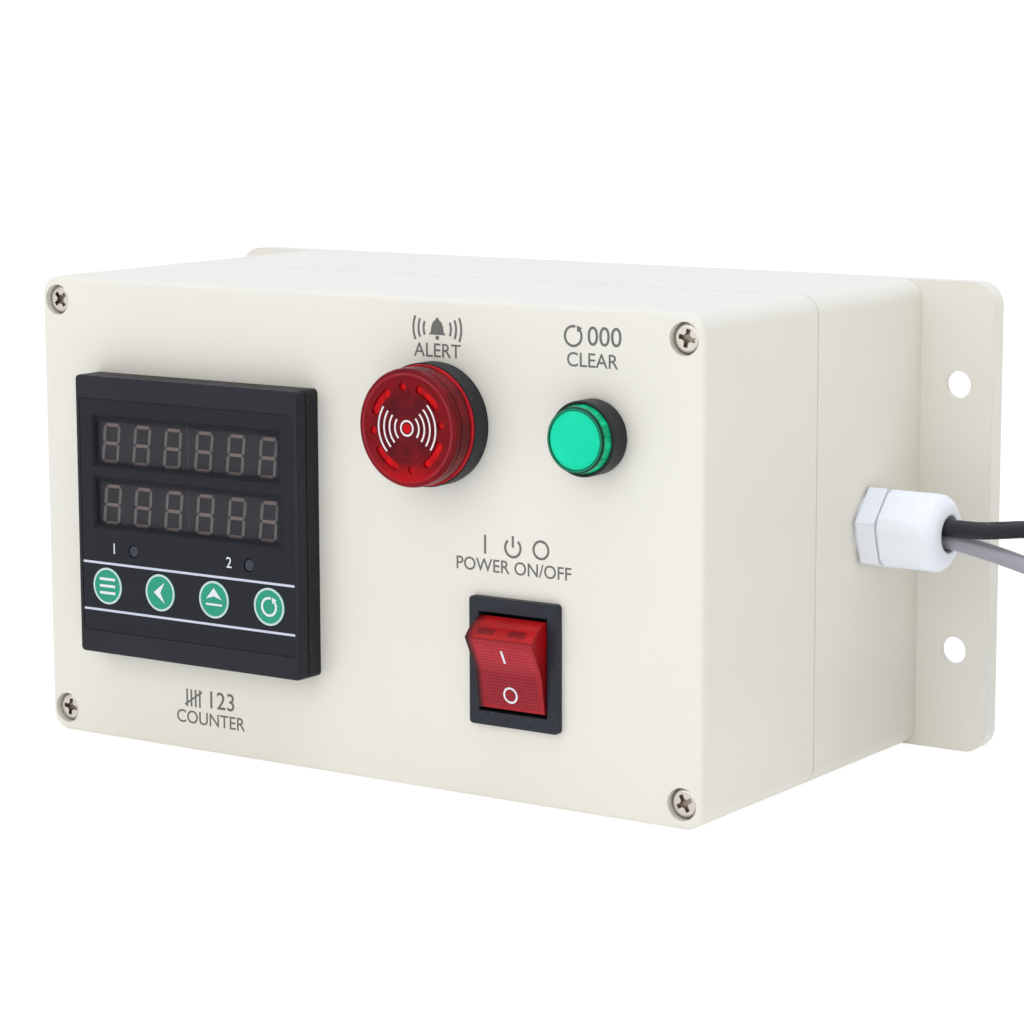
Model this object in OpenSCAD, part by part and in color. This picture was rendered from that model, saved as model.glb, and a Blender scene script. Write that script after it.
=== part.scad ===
// Panel counter in a wall box. A deep lid carries the counter, a buzzer, a reset button and a switch.
// Frame: +X to the right, +Y to the wall, +Z up.
// The origin is the centre of the four wall holes, on the back plane.

/* [Enclosure] */
// Outer width of the box
box_w = 200.5; // [196:0.5:220]
// Outer height of the box
box_h = 120.5; // [118:0.5:135]
// Depth from the lid's face to the wall
box_depth = 113.5; // [110:0.5:130]
// Depth of the lid, from its face to the seam
lid_depth = 53.7; // [50:0.1:60]
// Thickness of the moulded walls
wall = 3; // [2.6:0.1:3.6]
// Radius of the four long edges
corner_r = 5; // [4.5:0.5:7]
// Fillet round the lid's face
face_fillet = 1.4; // [0.8:0.1:2]
// Width of the groove that marks the seam
seam_groove = 0.4; // [0.3:0.1:1]
// Height of the base's tongue, which locates the lid
tongue_h = 2.4; // [1.5:0.1:4]
// Thickness of the seal between lid and base
lid_seal_t = 1; // [0.6:0.1:1.6]
// Outer diameter of the stand-offs on the base's floor
standoff_d = 7; // [6:0.5:9]
// Height of the stand-offs
standoff_h = 6; // [4:0.5:10]

/* [Wall ears] */
// How far each ear stands out from the box
ear_reach = 20; // [19:0.5:30]
// Thickness of an ear at its rim
ear_t = 5.6; // [4.5:0.1:8]
// Thickness of an ear's front skin
ear_skin = 1.8; // [1.6:0.1:3]
// Width of the rim round an ear's back
ear_rim = 2.4; // [1.5:0.1:3]
// Radius of an ear's outer corners
ear_corner_r = 6; // [4:0.5:9]
// Diameter of the wall holes
ear_hole_d = 7; // [5:0.1:8]
// Distance from a wall hole to the ear's outer edge
ear_hole_inset = 9.5; // [8:0.1:10]
// Vertical distance between the wall holes
ear_hole_pitch = 68.4; // [60:0.2:80]

/* [Lid screws] */
// Distance from a lid screw to the side of the box
screw_inset_x = 5.3; // [5:0.1:8]
// Distance from a lid screw to the top or bottom of the box
screw_inset_z = 6.1; // [5.4:0.1:9]
// Diameter of the screw recess in the face
screw_recess_d = 7.8; // [7.6:0.1:9]
// Depth of the screw recess
screw_recess_depth = 3.4; // [2.6:0.1:6]
// Diameter of a lid screw's head
screw_head_d = 7; // [6:0.1:7.4]
// Height of a lid screw's head
screw_head_h = 2.2; // [1.6:0.1:2.6]
// Shank diameter of a lid screw
screw_d = 4; // [3:0.1:4.2]
// Outer diameter of the screw posts
post_d = 9.6; // [9:0.1:10]
// Outer diameter of the threaded inserts
insert_d = 6; // [5.6:0.1:7]
// Length of the threaded inserts
insert_len = 9; // [6:0.5:14]

/* [Counter] */
// Distance from the box's left side to the counter's front
counter_inset = 18.25; // [17:0.25:24]
// Place of the counter's centre, above the box's centre
counter_z = 0.2; // [-4:0.1:4]
// Width of the bezel's rim beside the overlay film
bezel_rim = 1.2; // [1:0.1:2]
// Thickness of the front bezel
counter_bezel_t = 3.3; // [3:0.1:4]
// Thickness of the case's flange behind the bezel
counter_flange_t = 5.1; // [4.8:0.1:6]
// Width of the step between the front and the case behind the panel
case_step = 2.25; // [1.5:0.05:2.4]
// Wall thickness of the case
case_wall = 2; // [1.6:0.1:2.2]
// Length of the case behind the panel
case_len = 78; // [72:0.5:84]
// Thickness of the case's rear cover
case_cover_t = 2; // [1.5:0.1:3]
// Width of the overlay film beside the windows
film_margin = 3.8; // [3.2:0.1:5]
// Height of the bezel's bands above and below the overlay film
bezel_band = 5.8; // [4.5:0.1:6.5]
// Thickness of the overlay film
overlay_t = 0.4; // [0.3:0.05:0.6]
// Thickness of the bezel's panel behind the film
bezel_panel_t = 2; // [1.6:0.1:2.2]
// Width of the display windows
window_w = 62; // [56:0.2:66]
// Height of a display window
window_h = 14.2; // [13:0.1:15]
// Distance from the counter's top to the upper window's middle
upper_window_drop = 16.6; // [14:0.1:17]
// Distance from the upper window's middle to the lower window's middle
window_pitch = 15.9; // [15:0.1:17]
// Thickness of the window panes
pane_t = 1; // [0.6:0.1:1.2]
// Depth of a display module, front to back
display_depth = 6.2; // [5.5:0.1:7]
// Distance from the outer digits' cells to the window's sides
digit_margin = 0.4; // [0.2:0.1:1.2]
// Width of a digit
digit_w = 5.6; // [5:0.1:6]
// Height of a digit
digit_h = 10.4; // [9:0.1:11]
// Width of a display segment
segment_w = 0.85; // [0.8:0.05:1.3]
// Slant of the digits
digit_slant = 6; // [0:1:10]
// Diameter of the alarm lamps
lamp_d = 3; // [2.5:0.1:4]
// Distance between the two alarm lamps
lamp_pitch = 37.7; // [34:0.1:40]
// Distance from the counter's bottom to the alarm lamps
lamp_rise = 27.6; // [25.5:0.1:28]
// Diameter of the keys
key_d = 9.6; // [8.5:0.1:10.5]
// Distance from the counter's sides to the outer keys' axes
key_inset = 9.525; // [8.5:0.025:12]
// Distance from the counter's bottom to the key row
key_rise = 17.8; // [16:0.1:20]
// Thickness of a key's head
key_t = 1; // [0.8:0.05:1.2]
// Travel of a key
key_travel = 0.4; // [0.2:0.05:0.5]
// Diameter of a key's stem
key_stem_d = 5; // [4:0.1:6]
// Thickness of the printed circuit boards
board_t = 1.6; // [1:0.1:2]
// Distance from the case's bottom to the main board
main_board_rise = 15.75; // [12:0.25:20]
// Depth of the terminal blocks behind the rear cover
terminal_depth = 11; // [9:0.5:14]
// Shank diameter of the clamp screws
clamp_screw_d = 3; // [2.5:0.1:4]

/* [Buzzer] */
// Distance from the box's right side to the buzzer's axis
buzzer_inset = 73.95; // [68:0.05:76]
// Distance from the box's top to the buzzer's axis
buzzer_drop = 29.95; // [26:0.05:34]
// Diameter of the buzzer's black flange
buzzer_flange_d = 29.8; // [29.6:0.1:32]
// Thickness of the black flange, with its seal
buzzer_flange_t = 5.6; // [5:0.1:7]
// Thickness of the buzzer's seal
buzzer_seal_t = 0.8; // [0.5:0.1:1.2]
// Diameter of the barrel behind the panel
buzzer_barrel_d = 21.8; // [21:0.1:22.4]
// Length of the barrel behind the panel
buzzer_barrel_len = 36; // [30:0.5:42]
// Diameter of the red lens
lens_d = 28.5; // [28:0.1:29]
// Length of the red lens
lens_len = 7; // [6:0.1:8]
// Thickness of the lens's front
lens_front_t = 1.7; // [1.4:0.1:2.2]
// Radius at which the sound slots lie
sound_r = 9.9; // [9:0.1:10]
// Width of the sound slots and holes
sound_w = 2; // [1.5:0.1:2.4]
// Angle that a sound slot covers between its round ends
sound_angle = 34; // [24:1:38]

/* [Reset button] */
// Distance from the box's right side to the reset button's axis
reset_inset = 29.15; // [24:0.05:34]
// Distance from the box's top to the reset button's axis
reset_drop = 30.05; // [26:0.05:34]
// Diameter of the black bezel
reset_bezel_d = 17.8; // [17.6:0.1:20]
// Height of the black bezel, with its seal
reset_bezel_t = 6; // [5:0.1:7]
// Thickness of the reset button's seal
reset_seal_t = 0.6; // [0.4:0.1:1]
// Diameter of the barrel behind the panel
reset_barrel_d = 15.8; // [15:0.1:16]
// Length of the barrel behind the panel
reset_barrel_len = 20; // [18:0.5:24]
// Diameter of the green cap
cap_d = 16.2; // [15:0.1:16.3]
// How far the cap stands out of its bezel
cap_proud = 2.9; // [2.7:0.1:4]
// Width of the rim round the cap's face
cap_rim = 0.8; // [0.5:0.1:1.2]
// How much the cap's radius shrinks towards its front
cap_taper = 0.4; // [0.2:0.1:0.6]
// Travel of the reset button
reset_travel = 2.5; // [1:0.1:2.6]
// Diameter of the stem
stem_d = 8; // [6:0.1:9]
// Wire diameter of the return spring
spring_wire = 0.8; // [0.5:0.1:1]
// Turns of the return spring
spring_turns = 6; // [4:1:8]

/* [Rocker switch] */
// Distance from the box's right side to the switch's middle
switch_inset = 51.15; // [44:0.05:56]
// Distance from the box's bottom to the switch's middle
switch_rise = 34.25; // [30:0.05:38]
// Width of the bezel
switch_bezel_w = 25.4; // [25:0.1:28]
// Height of the bezel
switch_bezel_h = 31.2; // [31:0.1:34]
// Thickness of the bezel
switch_bezel_t = 2; // [1.6:0.1:2.6]
// Width of the housing behind the panel
switch_body_w = 21.8; // [21.6:0.1:23]
// Height of the housing behind the panel
switch_body_h = 27.2; // [27:0.1:28.5]
// Length of the housing behind the panel
switch_body_len = 24; // [20:0.5:28]
// Width of the opening for the rocker
rocker_opening_w = 19.6; // [19:0.1:19.8]
// Height of the opening for the rocker
rocker_opening_h = 24.2; // [24:0.1:25]
// Gap on each side of the rocker
rocker_gap = 0.3; // [0.2:0.05:0.5]
// Radius of the rocker's round ends about its pivot
rocker_r = 11.5; // [11:0.05:11.6]
// Depth of the pivot behind the panel's face
rocker_pivot_depth = 1; // [0.8:0.1:1.4]
// Distance from the pivot to the hollow of the rocker's face
rocker_hollow = 5.2; // [4.8:0.1:5.8]
// Tilt of the rocker to each side of its middle
rocker_tilt = 18; // [10:0.5:18]
// Diameter of the rocker's pivot pins
pivot_d = 2.4; // [2:0.1:3]

/* [Gland] */
// Distance from the gland's axis to the wall plane
gland_back = 31.2; // [30:0.1:36]
// Height of the gland's axis above the box's centre
gland_z = 0.4; // [-4:0.1:4]
// Width across the flats of the gland's hexagons
gland_flats = 19; // [18.6:0.1:20]
// Thickness of the gland's washer
gland_washer_t = 0.8; // [0.5:0.1:1.2]
// Length of the body's hexagon
gland_hex_len = 5.3; // [4:0.1:7]
// Length of the domed cap
gland_cap_len = 15.2; // [14:0.1:18]
// Gap between the hexagon and the cap
gland_cap_gap = 0.3; // [0.2:0.05:0.6]
// Radius of the dome on the cap
gland_dome_r = 5; // [4:0.1:5.2]
// Thread diameter of the gland
gland_thread_d = 15.2; // [14.8:0.1:15.6]
// Length of the thread inside the box
gland_thread_len = 11; // [9:0.5:13]
// Diameter of the mouth, which both cords pass
gland_mouth_d = 9.4; // [9.2:0.1:9.8]
// Thickness of the lock nut
gland_nut_t = 5; // [4:0.1:6]

/* [Cords] */
// Diameter of both cords
cord_d = 4.3; // [4:0.1:4.4]
// Distance between the two cords in the gland
cord_pitch = 4.6; // [4.5:0.05:4.8]
// Diameter of a coil at the middle of its turns
coil_d = 48; // [46:0.5:50]
// Distance between the turns of a coil
coil_pitch = 4.45; // [4.4:0.05:4.6]

/* [Clearances] */
// Gap round what passes through the panel
panel_gap = 0.25; // [0.15:0.05:0.4]
// Gap round parts that slip into each other
slip_gap = 0.2; // [0.1:0.05:0.25]
// Gap between a thread and what it screws into
thread_gap = 0.1; // [0.05:0.05:0.15]

/* [Hidden] */
$fn = 64;

// Levels are counted towards the viewer from the lid's face, and are negative inside the box.
base_depth = box_depth - lid_depth;
inner_w = box_w - 2 * wall;
inner_h = box_h - 2 * wall;
inner_corner_r = corner_r - wall;
rebate_h = tongue_h + lid_seal_t;
tongue_w = box_w - wall - 2 * slip_gap;
tongue_height = box_h - wall - 2 * slip_gap;
tongue_r = corner_r - wall / 2 - slip_gap;
screw_x = box_w / 2 - screw_inset_x;
screw_z = box_h / 2 - screw_inset_z;
screw_hole_d = screw_d + 2 * panel_gap;
seam_level = -lid_depth;
insert_top = seam_level + tongue_h;
screw_tip = insert_top - insert_len - 1;
hole_x = box_w / 2 + ear_reach - ear_hole_inset;
ear_rib_w = 1.8;
standoff_x = 62;
standoff_z = 38;
standoff_hole_d = 2.6;

overlay_w = window_w + 2 * film_margin;
counter_w = overlay_w + 2 * bezel_rim;
case_w = counter_w - 2 * case_step;
overlay_h = counter_w - 2 * bezel_band;
upper_window_z = counter_w / 2 - upper_window_drop;
lower_window_z = upper_window_z - window_pitch;
lamp_z = lamp_rise - counter_w / 2;
key_z = key_rise - counter_w / 2;
key_count = 4;
key_pitch = (counter_w - 2 * key_inset) / (key_count - 1);
counter_x = counter_inset + counter_w / 2 - box_w / 2;
bezel_front = counter_flange_t + counter_bezel_t;
overlay_sink = 0.1;
overlay_front = bezel_front - overlay_sink;
panel_front = overlay_front - overlay_t;
panel_back = panel_front - bezel_panel_t;
pane_front = overlay_front - 0.05;
segment_t = 0.15;
segment_gap = 0.36;
display_face = pane_front - pane_t - 0.1 - segment_t;
display_back = display_face - display_depth;
board_back = display_back - board_t;
skirt_w = case_w;
skirt_t = 1.5;
skirt_level = 2;
case_inner_w = case_w - 2 * case_wall;
board_w = case_inner_w - 2 * slip_gap;
display_w = window_w / 2 - slip_gap;
display_h = window_h - 2 * slip_gap;
window_levels = [upper_window_z, lower_window_z];
digit_count = 6;
digit_pitch = (window_w - 2 * digit_margin) / digit_count;
digit_shift = 0.3;
digit_drop = 0.6;
point_gap = 0.2;
key_front = overlay_front + 0.1;
key_back = key_front - key_t;
key_pocket_depth = panel_front - key_back + key_travel + slip_gap;
key_stem_end = panel_back - 1.5;
actuator_top = key_stem_end - key_travel - 0.15;
key_places = [for (i = [0:key_count - 1]) (i - (key_count - 1) / 2) * key_pitch];
lamp_shift = 1.4;
lamp_places = [lamp_shift - lamp_pitch / 2, lamp_shift + lamp_pitch / 2];
tact_w = 6;
tact_button_d = 3.4;
tact_button_len = 0.6;
main_board_w = case_inner_w - 9.5;
main_board_len = case_len - 6 + board_back;
main_board_z = main_board_rise - case_w / 2;
main_board_top = main_board_z + board_t;
transformer_x = 12;
transformer_depth = 40;
core_w = 28;
core_t = 12;
core_h = 24;
bobbin_w = 19;
bobbin_t = 24;
bobbin_h = 18;
capacitor_x = -16;
capacitor_depth = 18;
capacitor_d = 12;
capacitor_h = 20;
relay_x = -16;
relay_depths = [40, 60];
relay_w = 19;
relay_t = 15;
relay_h = 15;
cover_back = -case_len - case_cover_t;
terminal_count = 8;
terminal_pitch = 7.2;
terminal_w = terminal_count * terminal_pitch + 2;
terminal_h = 13;
terminal_row_z = 20;
terminal_rows = [-terminal_row_z, terminal_row_z];
terminal_screw_d = 4.4;
terminal_screw_len = 3;
terminal_screw_sink = 1;
clamp_level = -16;
clamp_h = 14;
clamp_t = 2;
clamp_foot = 11;
clamp_screw_offset = 6.5;
clamp_screw_len = 34;

buzzer_x = box_w / 2 - buzzer_inset;
buzzer_z = box_h / 2 - buzzer_drop;
buzzer_hole_d = buzzer_barrel_d + 2 * panel_gap;
lens_recess_d = lens_d - 3;
lens_recess_depth = 2.8;
lens_recess_floor = buzzer_flange_t - lens_recess_depth;
spigot_d = lens_recess_d - 2 * slip_gap;
spigot_len = 2.4;
lens_bore_d = spigot_d - 3;
buzzer_bore_d = buzzer_barrel_d - 3.4;
buzzer_bore_floor = 3 - buzzer_barrel_len;
sounder_t = 2.2;
lamp_board_level = -4;
lamp_board_t = 1.2;
buzzer_nut_t = 5;
buzzer_nut_flats = buzzer_barrel_d + 5;
sound_turn = 7;
buzzer_tab_x = 5;
buzzer_tab_w = 5;
buzzer_tab_h = 8;
buzzer_tab_len = 7;

reset_x = box_w / 2 - reset_inset;
reset_z = box_h / 2 - reset_drop;
reset_hole_d = reset_barrel_d + 2 * panel_gap;
cap_front = reset_bezel_t + cap_proud;
cap_rim_edge = 0.3;
cap_face_sink = 0.25;
cap_bore_d = cap_d + 2 * slip_gap - 0.1;
cap_bore_floor = 1.4;
cap_back = cap_bore_floor + reset_travel + 0.3;
stem_bore_d = stem_d + 2 * slip_gap;
reset_floor_back = -2;
reset_cavity_d = reset_barrel_d - 2.8;
collar_gap = 0.3;
collar_top = reset_floor_back - collar_gap;
collar_t = 3;
collar_d = reset_cavity_d - 2;
pin_d = 5;
spring_top = collar_top - collar_t;
spring_bottom = -reset_barrel_len;
pin_end = spring_bottom + reset_travel + 0.3;
spring_r = pin_d / 2 + spring_wire / 2 + 0.5;
reset_nut_t = 3.5;
reset_nut_flats = reset_barrel_d + 4;
contact_w = 15;
contact_len = 22;
reset_tab_place = 4;
reset_tab_w = 2.8;
reset_tab_t = 0.8;
reset_tab_len = 7;

switch_x = box_w / 2 - switch_inset;
switch_z = switch_rise - box_h / 2;
rocker_w = rocker_opening_w - 2 * rocker_gap;
rocker_pivot = -rocker_pivot_depth;
rocker_corner_angle = 54;
rocker_end_angle = 95;
rocker_floor = rocker_pivot - rocker_r * sin(rocker_tilt) - 3.5;
pin_len = 0.7;
blade_w = 6.3;
blade_t = 0.8;
blade_len = 9;
blade_x = 5;
blade_z = 8;

gland_hex_start = gland_washer_t;
gland_hex_end = gland_hex_start + gland_hex_len;
gland_cap_start = gland_hex_end + gland_cap_gap;
gland_cap_end = gland_cap_start + gland_cap_len;
gland_hole_d = gland_thread_d + 2 * panel_gap;
gland_bore_d = gland_mouth_d + 1.4;
gland_cap_r = gland_flats / 2 + 0.7;
gland_neck_len = 8.5;
gland_neck_end = gland_hex_end + gland_neck_len;
gland_seal_start = 3;
gland_seal_end = gland_neck_end + 1.2;
gland_turn = 17;
cord_bore_d = cord_d + 0.1;
cord_lean = 36;

// Cord routes. A lead is counted from the gland's axis at the box's side.
// A tail is counted from its coil's middle on the floor.
floor_z = -box_h / 2;
gland_place = [box_w / 2, -gland_back, gland_z];
cord_side = cord_pitch / 2 * [0, -sin(cord_lean), cos(cord_lean)];
lead_drop = (gland_z - floor_z) / 60.65;
function lead(route) = [for (p = route) gland_place + [p[0], p[1], p[2] * lead_drop]];
coil_reach = 94;
coil_side = 1.8;
coil_place = [box_w / 2 + coil_reach, -gland_back - coil_side, floor_z];
function tail(route) = [for (p = route) coil_place + p];
plug_relief_len = 22;
plug_len = 28;
plug_w = 25;
plug_t = 15;
plug_pin_len = 17;
plug_side = 40;
connector_d = 14;
connector_ring_d = 16;
connector_len = 34;
connector_relief_len = 16;
connector_side = 63.5;
end_y = -1;
end_sink = 3;
power_lead = lead([[4, 0, 0] + cord_side, [14, 0, 0] + cord_side, [22.2, -1.3, 1.8], [29.8, -0.6, 1.7],
                   [35.8, 1.2, 2.1], [40.4, 3.4, 2.35], [45, 6.3, 1.5], [49.1, 9.5, -0.6], [52.4, 12.5, -4],
                   [54.8, 14.9, -8.4], [56.4, 16.4, -13.7], [57.7, 17.45, -19.4], [58.1, 17.75, -25.15],
                   [59, 18.1, -30.2], [60.75, 18.82, -34.9], [63.5, 19.94, -38.94],
                   [67.24, 21.45, -42.04], [71.6, 23.21, -43.99], [76.28, 25, -44.65],
                   [80.3, 26.2, -44.65], [84.6, 26.7, -44.65], [89, 26.75, -44.65]]);
power_tail = tail([[2, 28.4, 3.1], [12, 28.2, 3], [23, 25.5, 3.2], [32, 19.5, 4.2], [38, 11.5, 6],
                   [plug_side, 3, plug_t / 2 - 0.2], [plug_side, end_y - end_sink, plug_t / 2]]);
signal_lead = lead([[4, 0, 0] - cord_side, [14, 0, 0] - cord_side, [22.4, 1.35, -2.1], [28.8, 1.4, -3.2],
                    [34.8, 1.8, -4.6], [40.8, 2.8, -6.4], [47.4, 4.5, -8.9], [54, 7.2, -11.9],
                    [60.4, 10.8, -15], [66.4, 15, -18.2], [71.8, 18.9, -21], [76.8, 22.1, -23.3],
                    [81.6, 24.6, -25.1], [86.2, 26, -26], [90.6, 26.65, -26.5]]);
signal_tail = tail([[2, 28.6, 20.9], [12, 29.6, 20.6], [24, 29.6, 18.2], [36, 27.2, 14.4], [47, 22, 11],
                    [56, 14.5, 8.8], [61.5, 6, connector_ring_d / 2],
                    [connector_side, end_y - end_sink, connector_ring_d / 2]]);
coil_lift = 0.9;
coil_w = 2 * coil_pitch + cord_d;
coil_h = 3 * coil_pitch + cord_d;
power_coil_z = coil_lift;
signal_coil_z = power_coil_z + coil_h;
tie_t = 0.7;
tie_w = 4;
tie_gap = 0.25;
tie_angle = -50;

// Shapes that repeat

// Puts children on the lid's face: x right, y up, z towards the viewer.
module on_panel(x, z) {
    translate([x, -box_depth, z]) rotate([90, 0, 0]) children();
}

// Puts children on the box's right side: z points outwards.
module on_side() {
    translate([box_w / 2, -gland_back, gland_z]) rotate([0, 90, 0]) children();
}

// A rectangle with round corners.
module round_rect(w, h, r) {
    square([w - 2 * r, h], center = true);
    square([w, h - 2 * r], center = true);
    for (x = [-1, 1], y = [-1, 1]) translate([x * (w / 2 - r), y * (h / 2 - r)]) circle(r);
}

module plate(w, h, t, r) {
    linear_extrude(t) round_rect(w, h, r);
}

// Section of a block whose two front edges are round.
module soft_section(w, t, edge) {
    translate([-w / 2, 0]) square([w, t - edge]);
    translate([edge - w / 2, 0]) square([w - 2 * edge, t]);
    for (x = [-1, 1]) translate([x * (w / 2 - edge), t - edge]) circle(edge);
}

// A block with round corners and a fillet round its front.
module soft_block(w, h, t, r, edge) {
    rotate([90, 0, 90]) linear_extrude(w - 2 * r, center = true) soft_section(h, t, edge);
    rotate([90, 0, 0]) linear_extrude(h - 2 * r, center = true) soft_section(w, t, edge);
    for (x = [-1, 1], y = [-1, 1]) translate([x * (w / 2 - r), y * (h / 2 - r), 0]) soft_disc(r, t, edge);
}

// A disc with a fillet round its front.
module soft_disc(r, t, edge) {
    rotate_extrude() {
        square([r, t - edge]);
        square([r - edge, t]);
        intersection() {
            translate([r - edge, t - edge]) circle(edge);
            square([r, t]);
        }
    }
}

module ring(outer_d, inner_d, t) {
    difference() {
        cylinder(d = outer_d, h = t);
        translate([0, 0, -1]) cylinder(d = inner_d, h = t + 2);
    }
}

// A hexagon prism, measured across its flats.
module hexagon(flats, t) {
    cylinder(d = flats / cos(30), h = t, $fn = 6);
}

module hex_nut(flats, inner_d, t) {
    difference() {
        hexagon(flats, t);
        translate([0, 0, -1]) cylinder(d = inner_d, h = t + 2);
    }
}

// A block that stands on its own middle, from z = 0 up.
module block(w, h, t) {
    translate([-w / 2, -h / 2, 0]) cube([w, h, t]);
}

module at_lid_screws() {
    for (x = [-1, 1], y = [-1, 1]) translate([x * screw_x, y * screw_z, 0]) children();
}

// How far the lid screw in a corner is turned.
function screw_turn(x, y) = x < 0 ? (y < 0 ? 82 : 40) : (y < 0 ? 28 : 78);

module at_wall_holes() {
    for (x = [-1, 1], y = [-1, 1]) translate([x * hole_x, y * ear_hole_pitch / 2, 0]) children();
}

function unit(v) = v / norm(v);

// Direction of a route at one of its points.
function heading(route, i) =
    unit(route[min(i + 1, len(route) - 1)] - route[max(i - 1, 0)]);

// A round tube swept along a route's own points. Across is a direction that the route never takes.
module tube(route, d, sides, across) {
    count = len(route);
    points = [for (i = [0:count - 1])
        let (t = heading(route, i), s = unit(cross(t, across)), n = cross(s, t))
        for (k = [0:sides - 1])
            route[i] + d / 2 * (s * cos(360 * k / sides) + n * sin(360 * k / sides))];
    walls = [for (i = [0:count - 2], k = [0:sides - 1])
        let (a = i * sides + k, b = i * sides + (k + 1) % sides)
        each [[a, a + sides, b], [b, a + sides, b + sides]]];
    first_cap = [[for (k = [0:sides - 1]) k]];
    last_cap = [[for (k = [sides - 1:-1:0]) (count - 1) * sides + k]];
    polyhedron(points, concat(walls, first_cap, last_cap));
}

// Enclosure

module ear_pocket(side) {
    pocket_w = ear_reach - 1.2 - ear_rim;
    difference() {
        translate([side * (box_w / 2 + 1.2 + pocket_w / 2), 0, -1])
            plate(pocket_w, box_h - 2 * ear_rim, ear_t - ear_skin + 1, 1.5);
        for (y = [-ear_hole_pitch / 4, 0, ear_hole_pitch / 4])
            translate([side * (box_w / 2 + ear_reach / 2), y, -2]) block(ear_reach + 4, ear_rib_w, ear_t + 2);
    }
}

module enclosure_base() {
    color("#d9d5c6") on_panel(0, 0) difference() {
        union() {
            translate([0, 0, -box_depth]) plate(box_w, box_h, base_depth, corner_r);
            translate([0, 0, -box_depth]) plate(box_w + 2 * ear_reach, box_h, ear_t, ear_corner_r);
            translate([0, 0, seam_level - 1]) plate(tongue_w, tongue_height, tongue_h + 1, tongue_r);
        }
        difference() {
            translate([0, 0, wall - box_depth])
                plate(inner_w, inner_h, base_depth + tongue_h, inner_corner_r);
            at_lid_screws() translate([0, 0, -box_depth]) cylinder(d = post_d, h = base_depth + tongue_h);
            for (x = [-1, 1], y = [-1, 1])
                translate([x * standoff_x, y * standoff_z, -box_depth])
                    cylinder(d = standoff_d, h = wall + standoff_h);
        }
        at_lid_screws() {
            translate([0, 0, insert_top - insert_len]) cylinder(d = insert_d, h = insert_len + 1);
            translate([0, 0, screw_tip - 2]) cylinder(d = screw_hole_d, h = insert_len + 3);
        }
        for (x = [-1, 1], y = [-1, 1])
            translate([x * standoff_x, y * standoff_z, wall - box_depth])
                cylinder(d = standoff_hole_d, h = standoff_h + 1);
        at_wall_holes() translate([0, 0, -box_depth - 1]) cylinder(d = ear_hole_d, h = ear_t + 2);
        for (side = [-1, 1]) translate([0, 0, -box_depth]) ear_pocket(side);
        translate([box_w / 2 + 1, gland_z, gland_back - box_depth])
            rotate([0, -90, 0]) cylinder(d = gland_hole_d, h = wall + 2);
    }
}

module enclosure_lid() {
    color("#e8e5dc") on_panel(0, 0) difference() {
        translate([0, 0, seam_level]) soft_block(box_w, box_h, lid_depth, corner_r, face_fillet);
        difference() {
            translate([0, 0, seam_level - 1]) plate(inner_w, inner_h, lid_depth - wall + 1, inner_corner_r);
            at_lid_screws() translate([0, 0, seam_level - 2]) cylinder(d = post_d, h = lid_depth);
        }
        translate([0, 0, seam_level - 1])
            plate(box_w - wall, box_h - wall, rebate_h + 1, corner_r - wall / 2);
        difference() {
            translate([0, 0, seam_level - 1]) plate(box_w + 2, box_h + 2, seam_groove + 1, corner_r + 1);
            translate([0, 0, seam_level - 2])
                plate(box_w - seam_groove, box_h - seam_groove, seam_groove + 3, corner_r - seam_groove / 2);
        }
        at_lid_screws() {
            translate([0, 0, seam_level]) cylinder(d = screw_hole_d, h = lid_depth + 1);
            translate([0, 0, -screw_recess_depth]) cylinder(d = screw_recess_d, h = screw_recess_depth + 1);
        }
        translate([counter_x, counter_z, -wall - 1])
            plate(case_w + 2 * panel_gap, case_w + 2 * panel_gap, wall + 2, 2 + panel_gap);
        translate([buzzer_x, buzzer_z, -wall - 1]) cylinder(d = buzzer_hole_d, h = wall + 2);
        translate([reset_x, reset_z, -wall - 1]) cylinder(d = reset_hole_d, h = wall + 2);
        translate([switch_x, switch_z, -wall - 1])
            block(switch_body_w + 2 * panel_gap, switch_body_h + 2 * panel_gap, wall + 2);
    }
}

module lid_seal() {
    color("#3c3c3c") on_panel(0, 0) translate([0, 0, seam_level + tongue_h]) difference() {
        plate(tongue_w, tongue_height, lid_seal_t, tongue_r);
        translate([0, 0, -1]) plate(inner_w, inner_h, lid_seal_t + 2, inner_corner_r);
        at_lid_screws() translate([0, 0, -1]) cylinder(d = screw_hole_d, h = lid_seal_t + 2);
    }
}

module lid_screw(turn) {
    head_top = screw_head_h - screw_recess_depth;
    cross_len = screw_head_d * 0.62;
    cross_w = 1.1;
    cross_depth = 1.3;
    difference() {
        union() {
            translate([0, 0, -screw_recess_depth]) soft_disc(screw_head_d / 2, screw_head_h, 0.8);
            translate([0, 0, screw_tip]) cylinder(d = screw_d, h = -screw_recess_depth - screw_tip);
        }
        for (arm = [0, 90]) rotate(turn + arm)
            translate([0, 0, head_top - cross_depth]) block(cross_len, cross_w, cross_depth + 1);
        translate([0, 0, head_top - cross_depth]) cylinder(d = 2 * cross_w, h = cross_depth + 1);
    }
}

module lid_screws() {
    color("#b9b8b4") on_panel(0, 0) for (x = [-1, 1], y = [-1, 1])
        translate([x * screw_x, y * screw_z, 0]) lid_screw(screw_turn(x, y));
}

module screw_inserts() {
    color("#c8a24a") on_panel(0, 0) at_lid_screws() translate([0, 0, insert_top - insert_len])
        ring(insert_d, screw_d + 2 * thread_gap, insert_len);
}

// Counter

module on_counter() {
    on_panel(counter_x, counter_z) children();
}

module at_windows() {
    for (y = window_levels) translate([0, y, 0]) children();
}

module at_keys() {
    for (x = key_places) translate([x, key_z, 0]) children();
}

module at_lamps() {
    for (x = lamp_places) translate([x, lamp_z, 0]) children();
}

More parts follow.
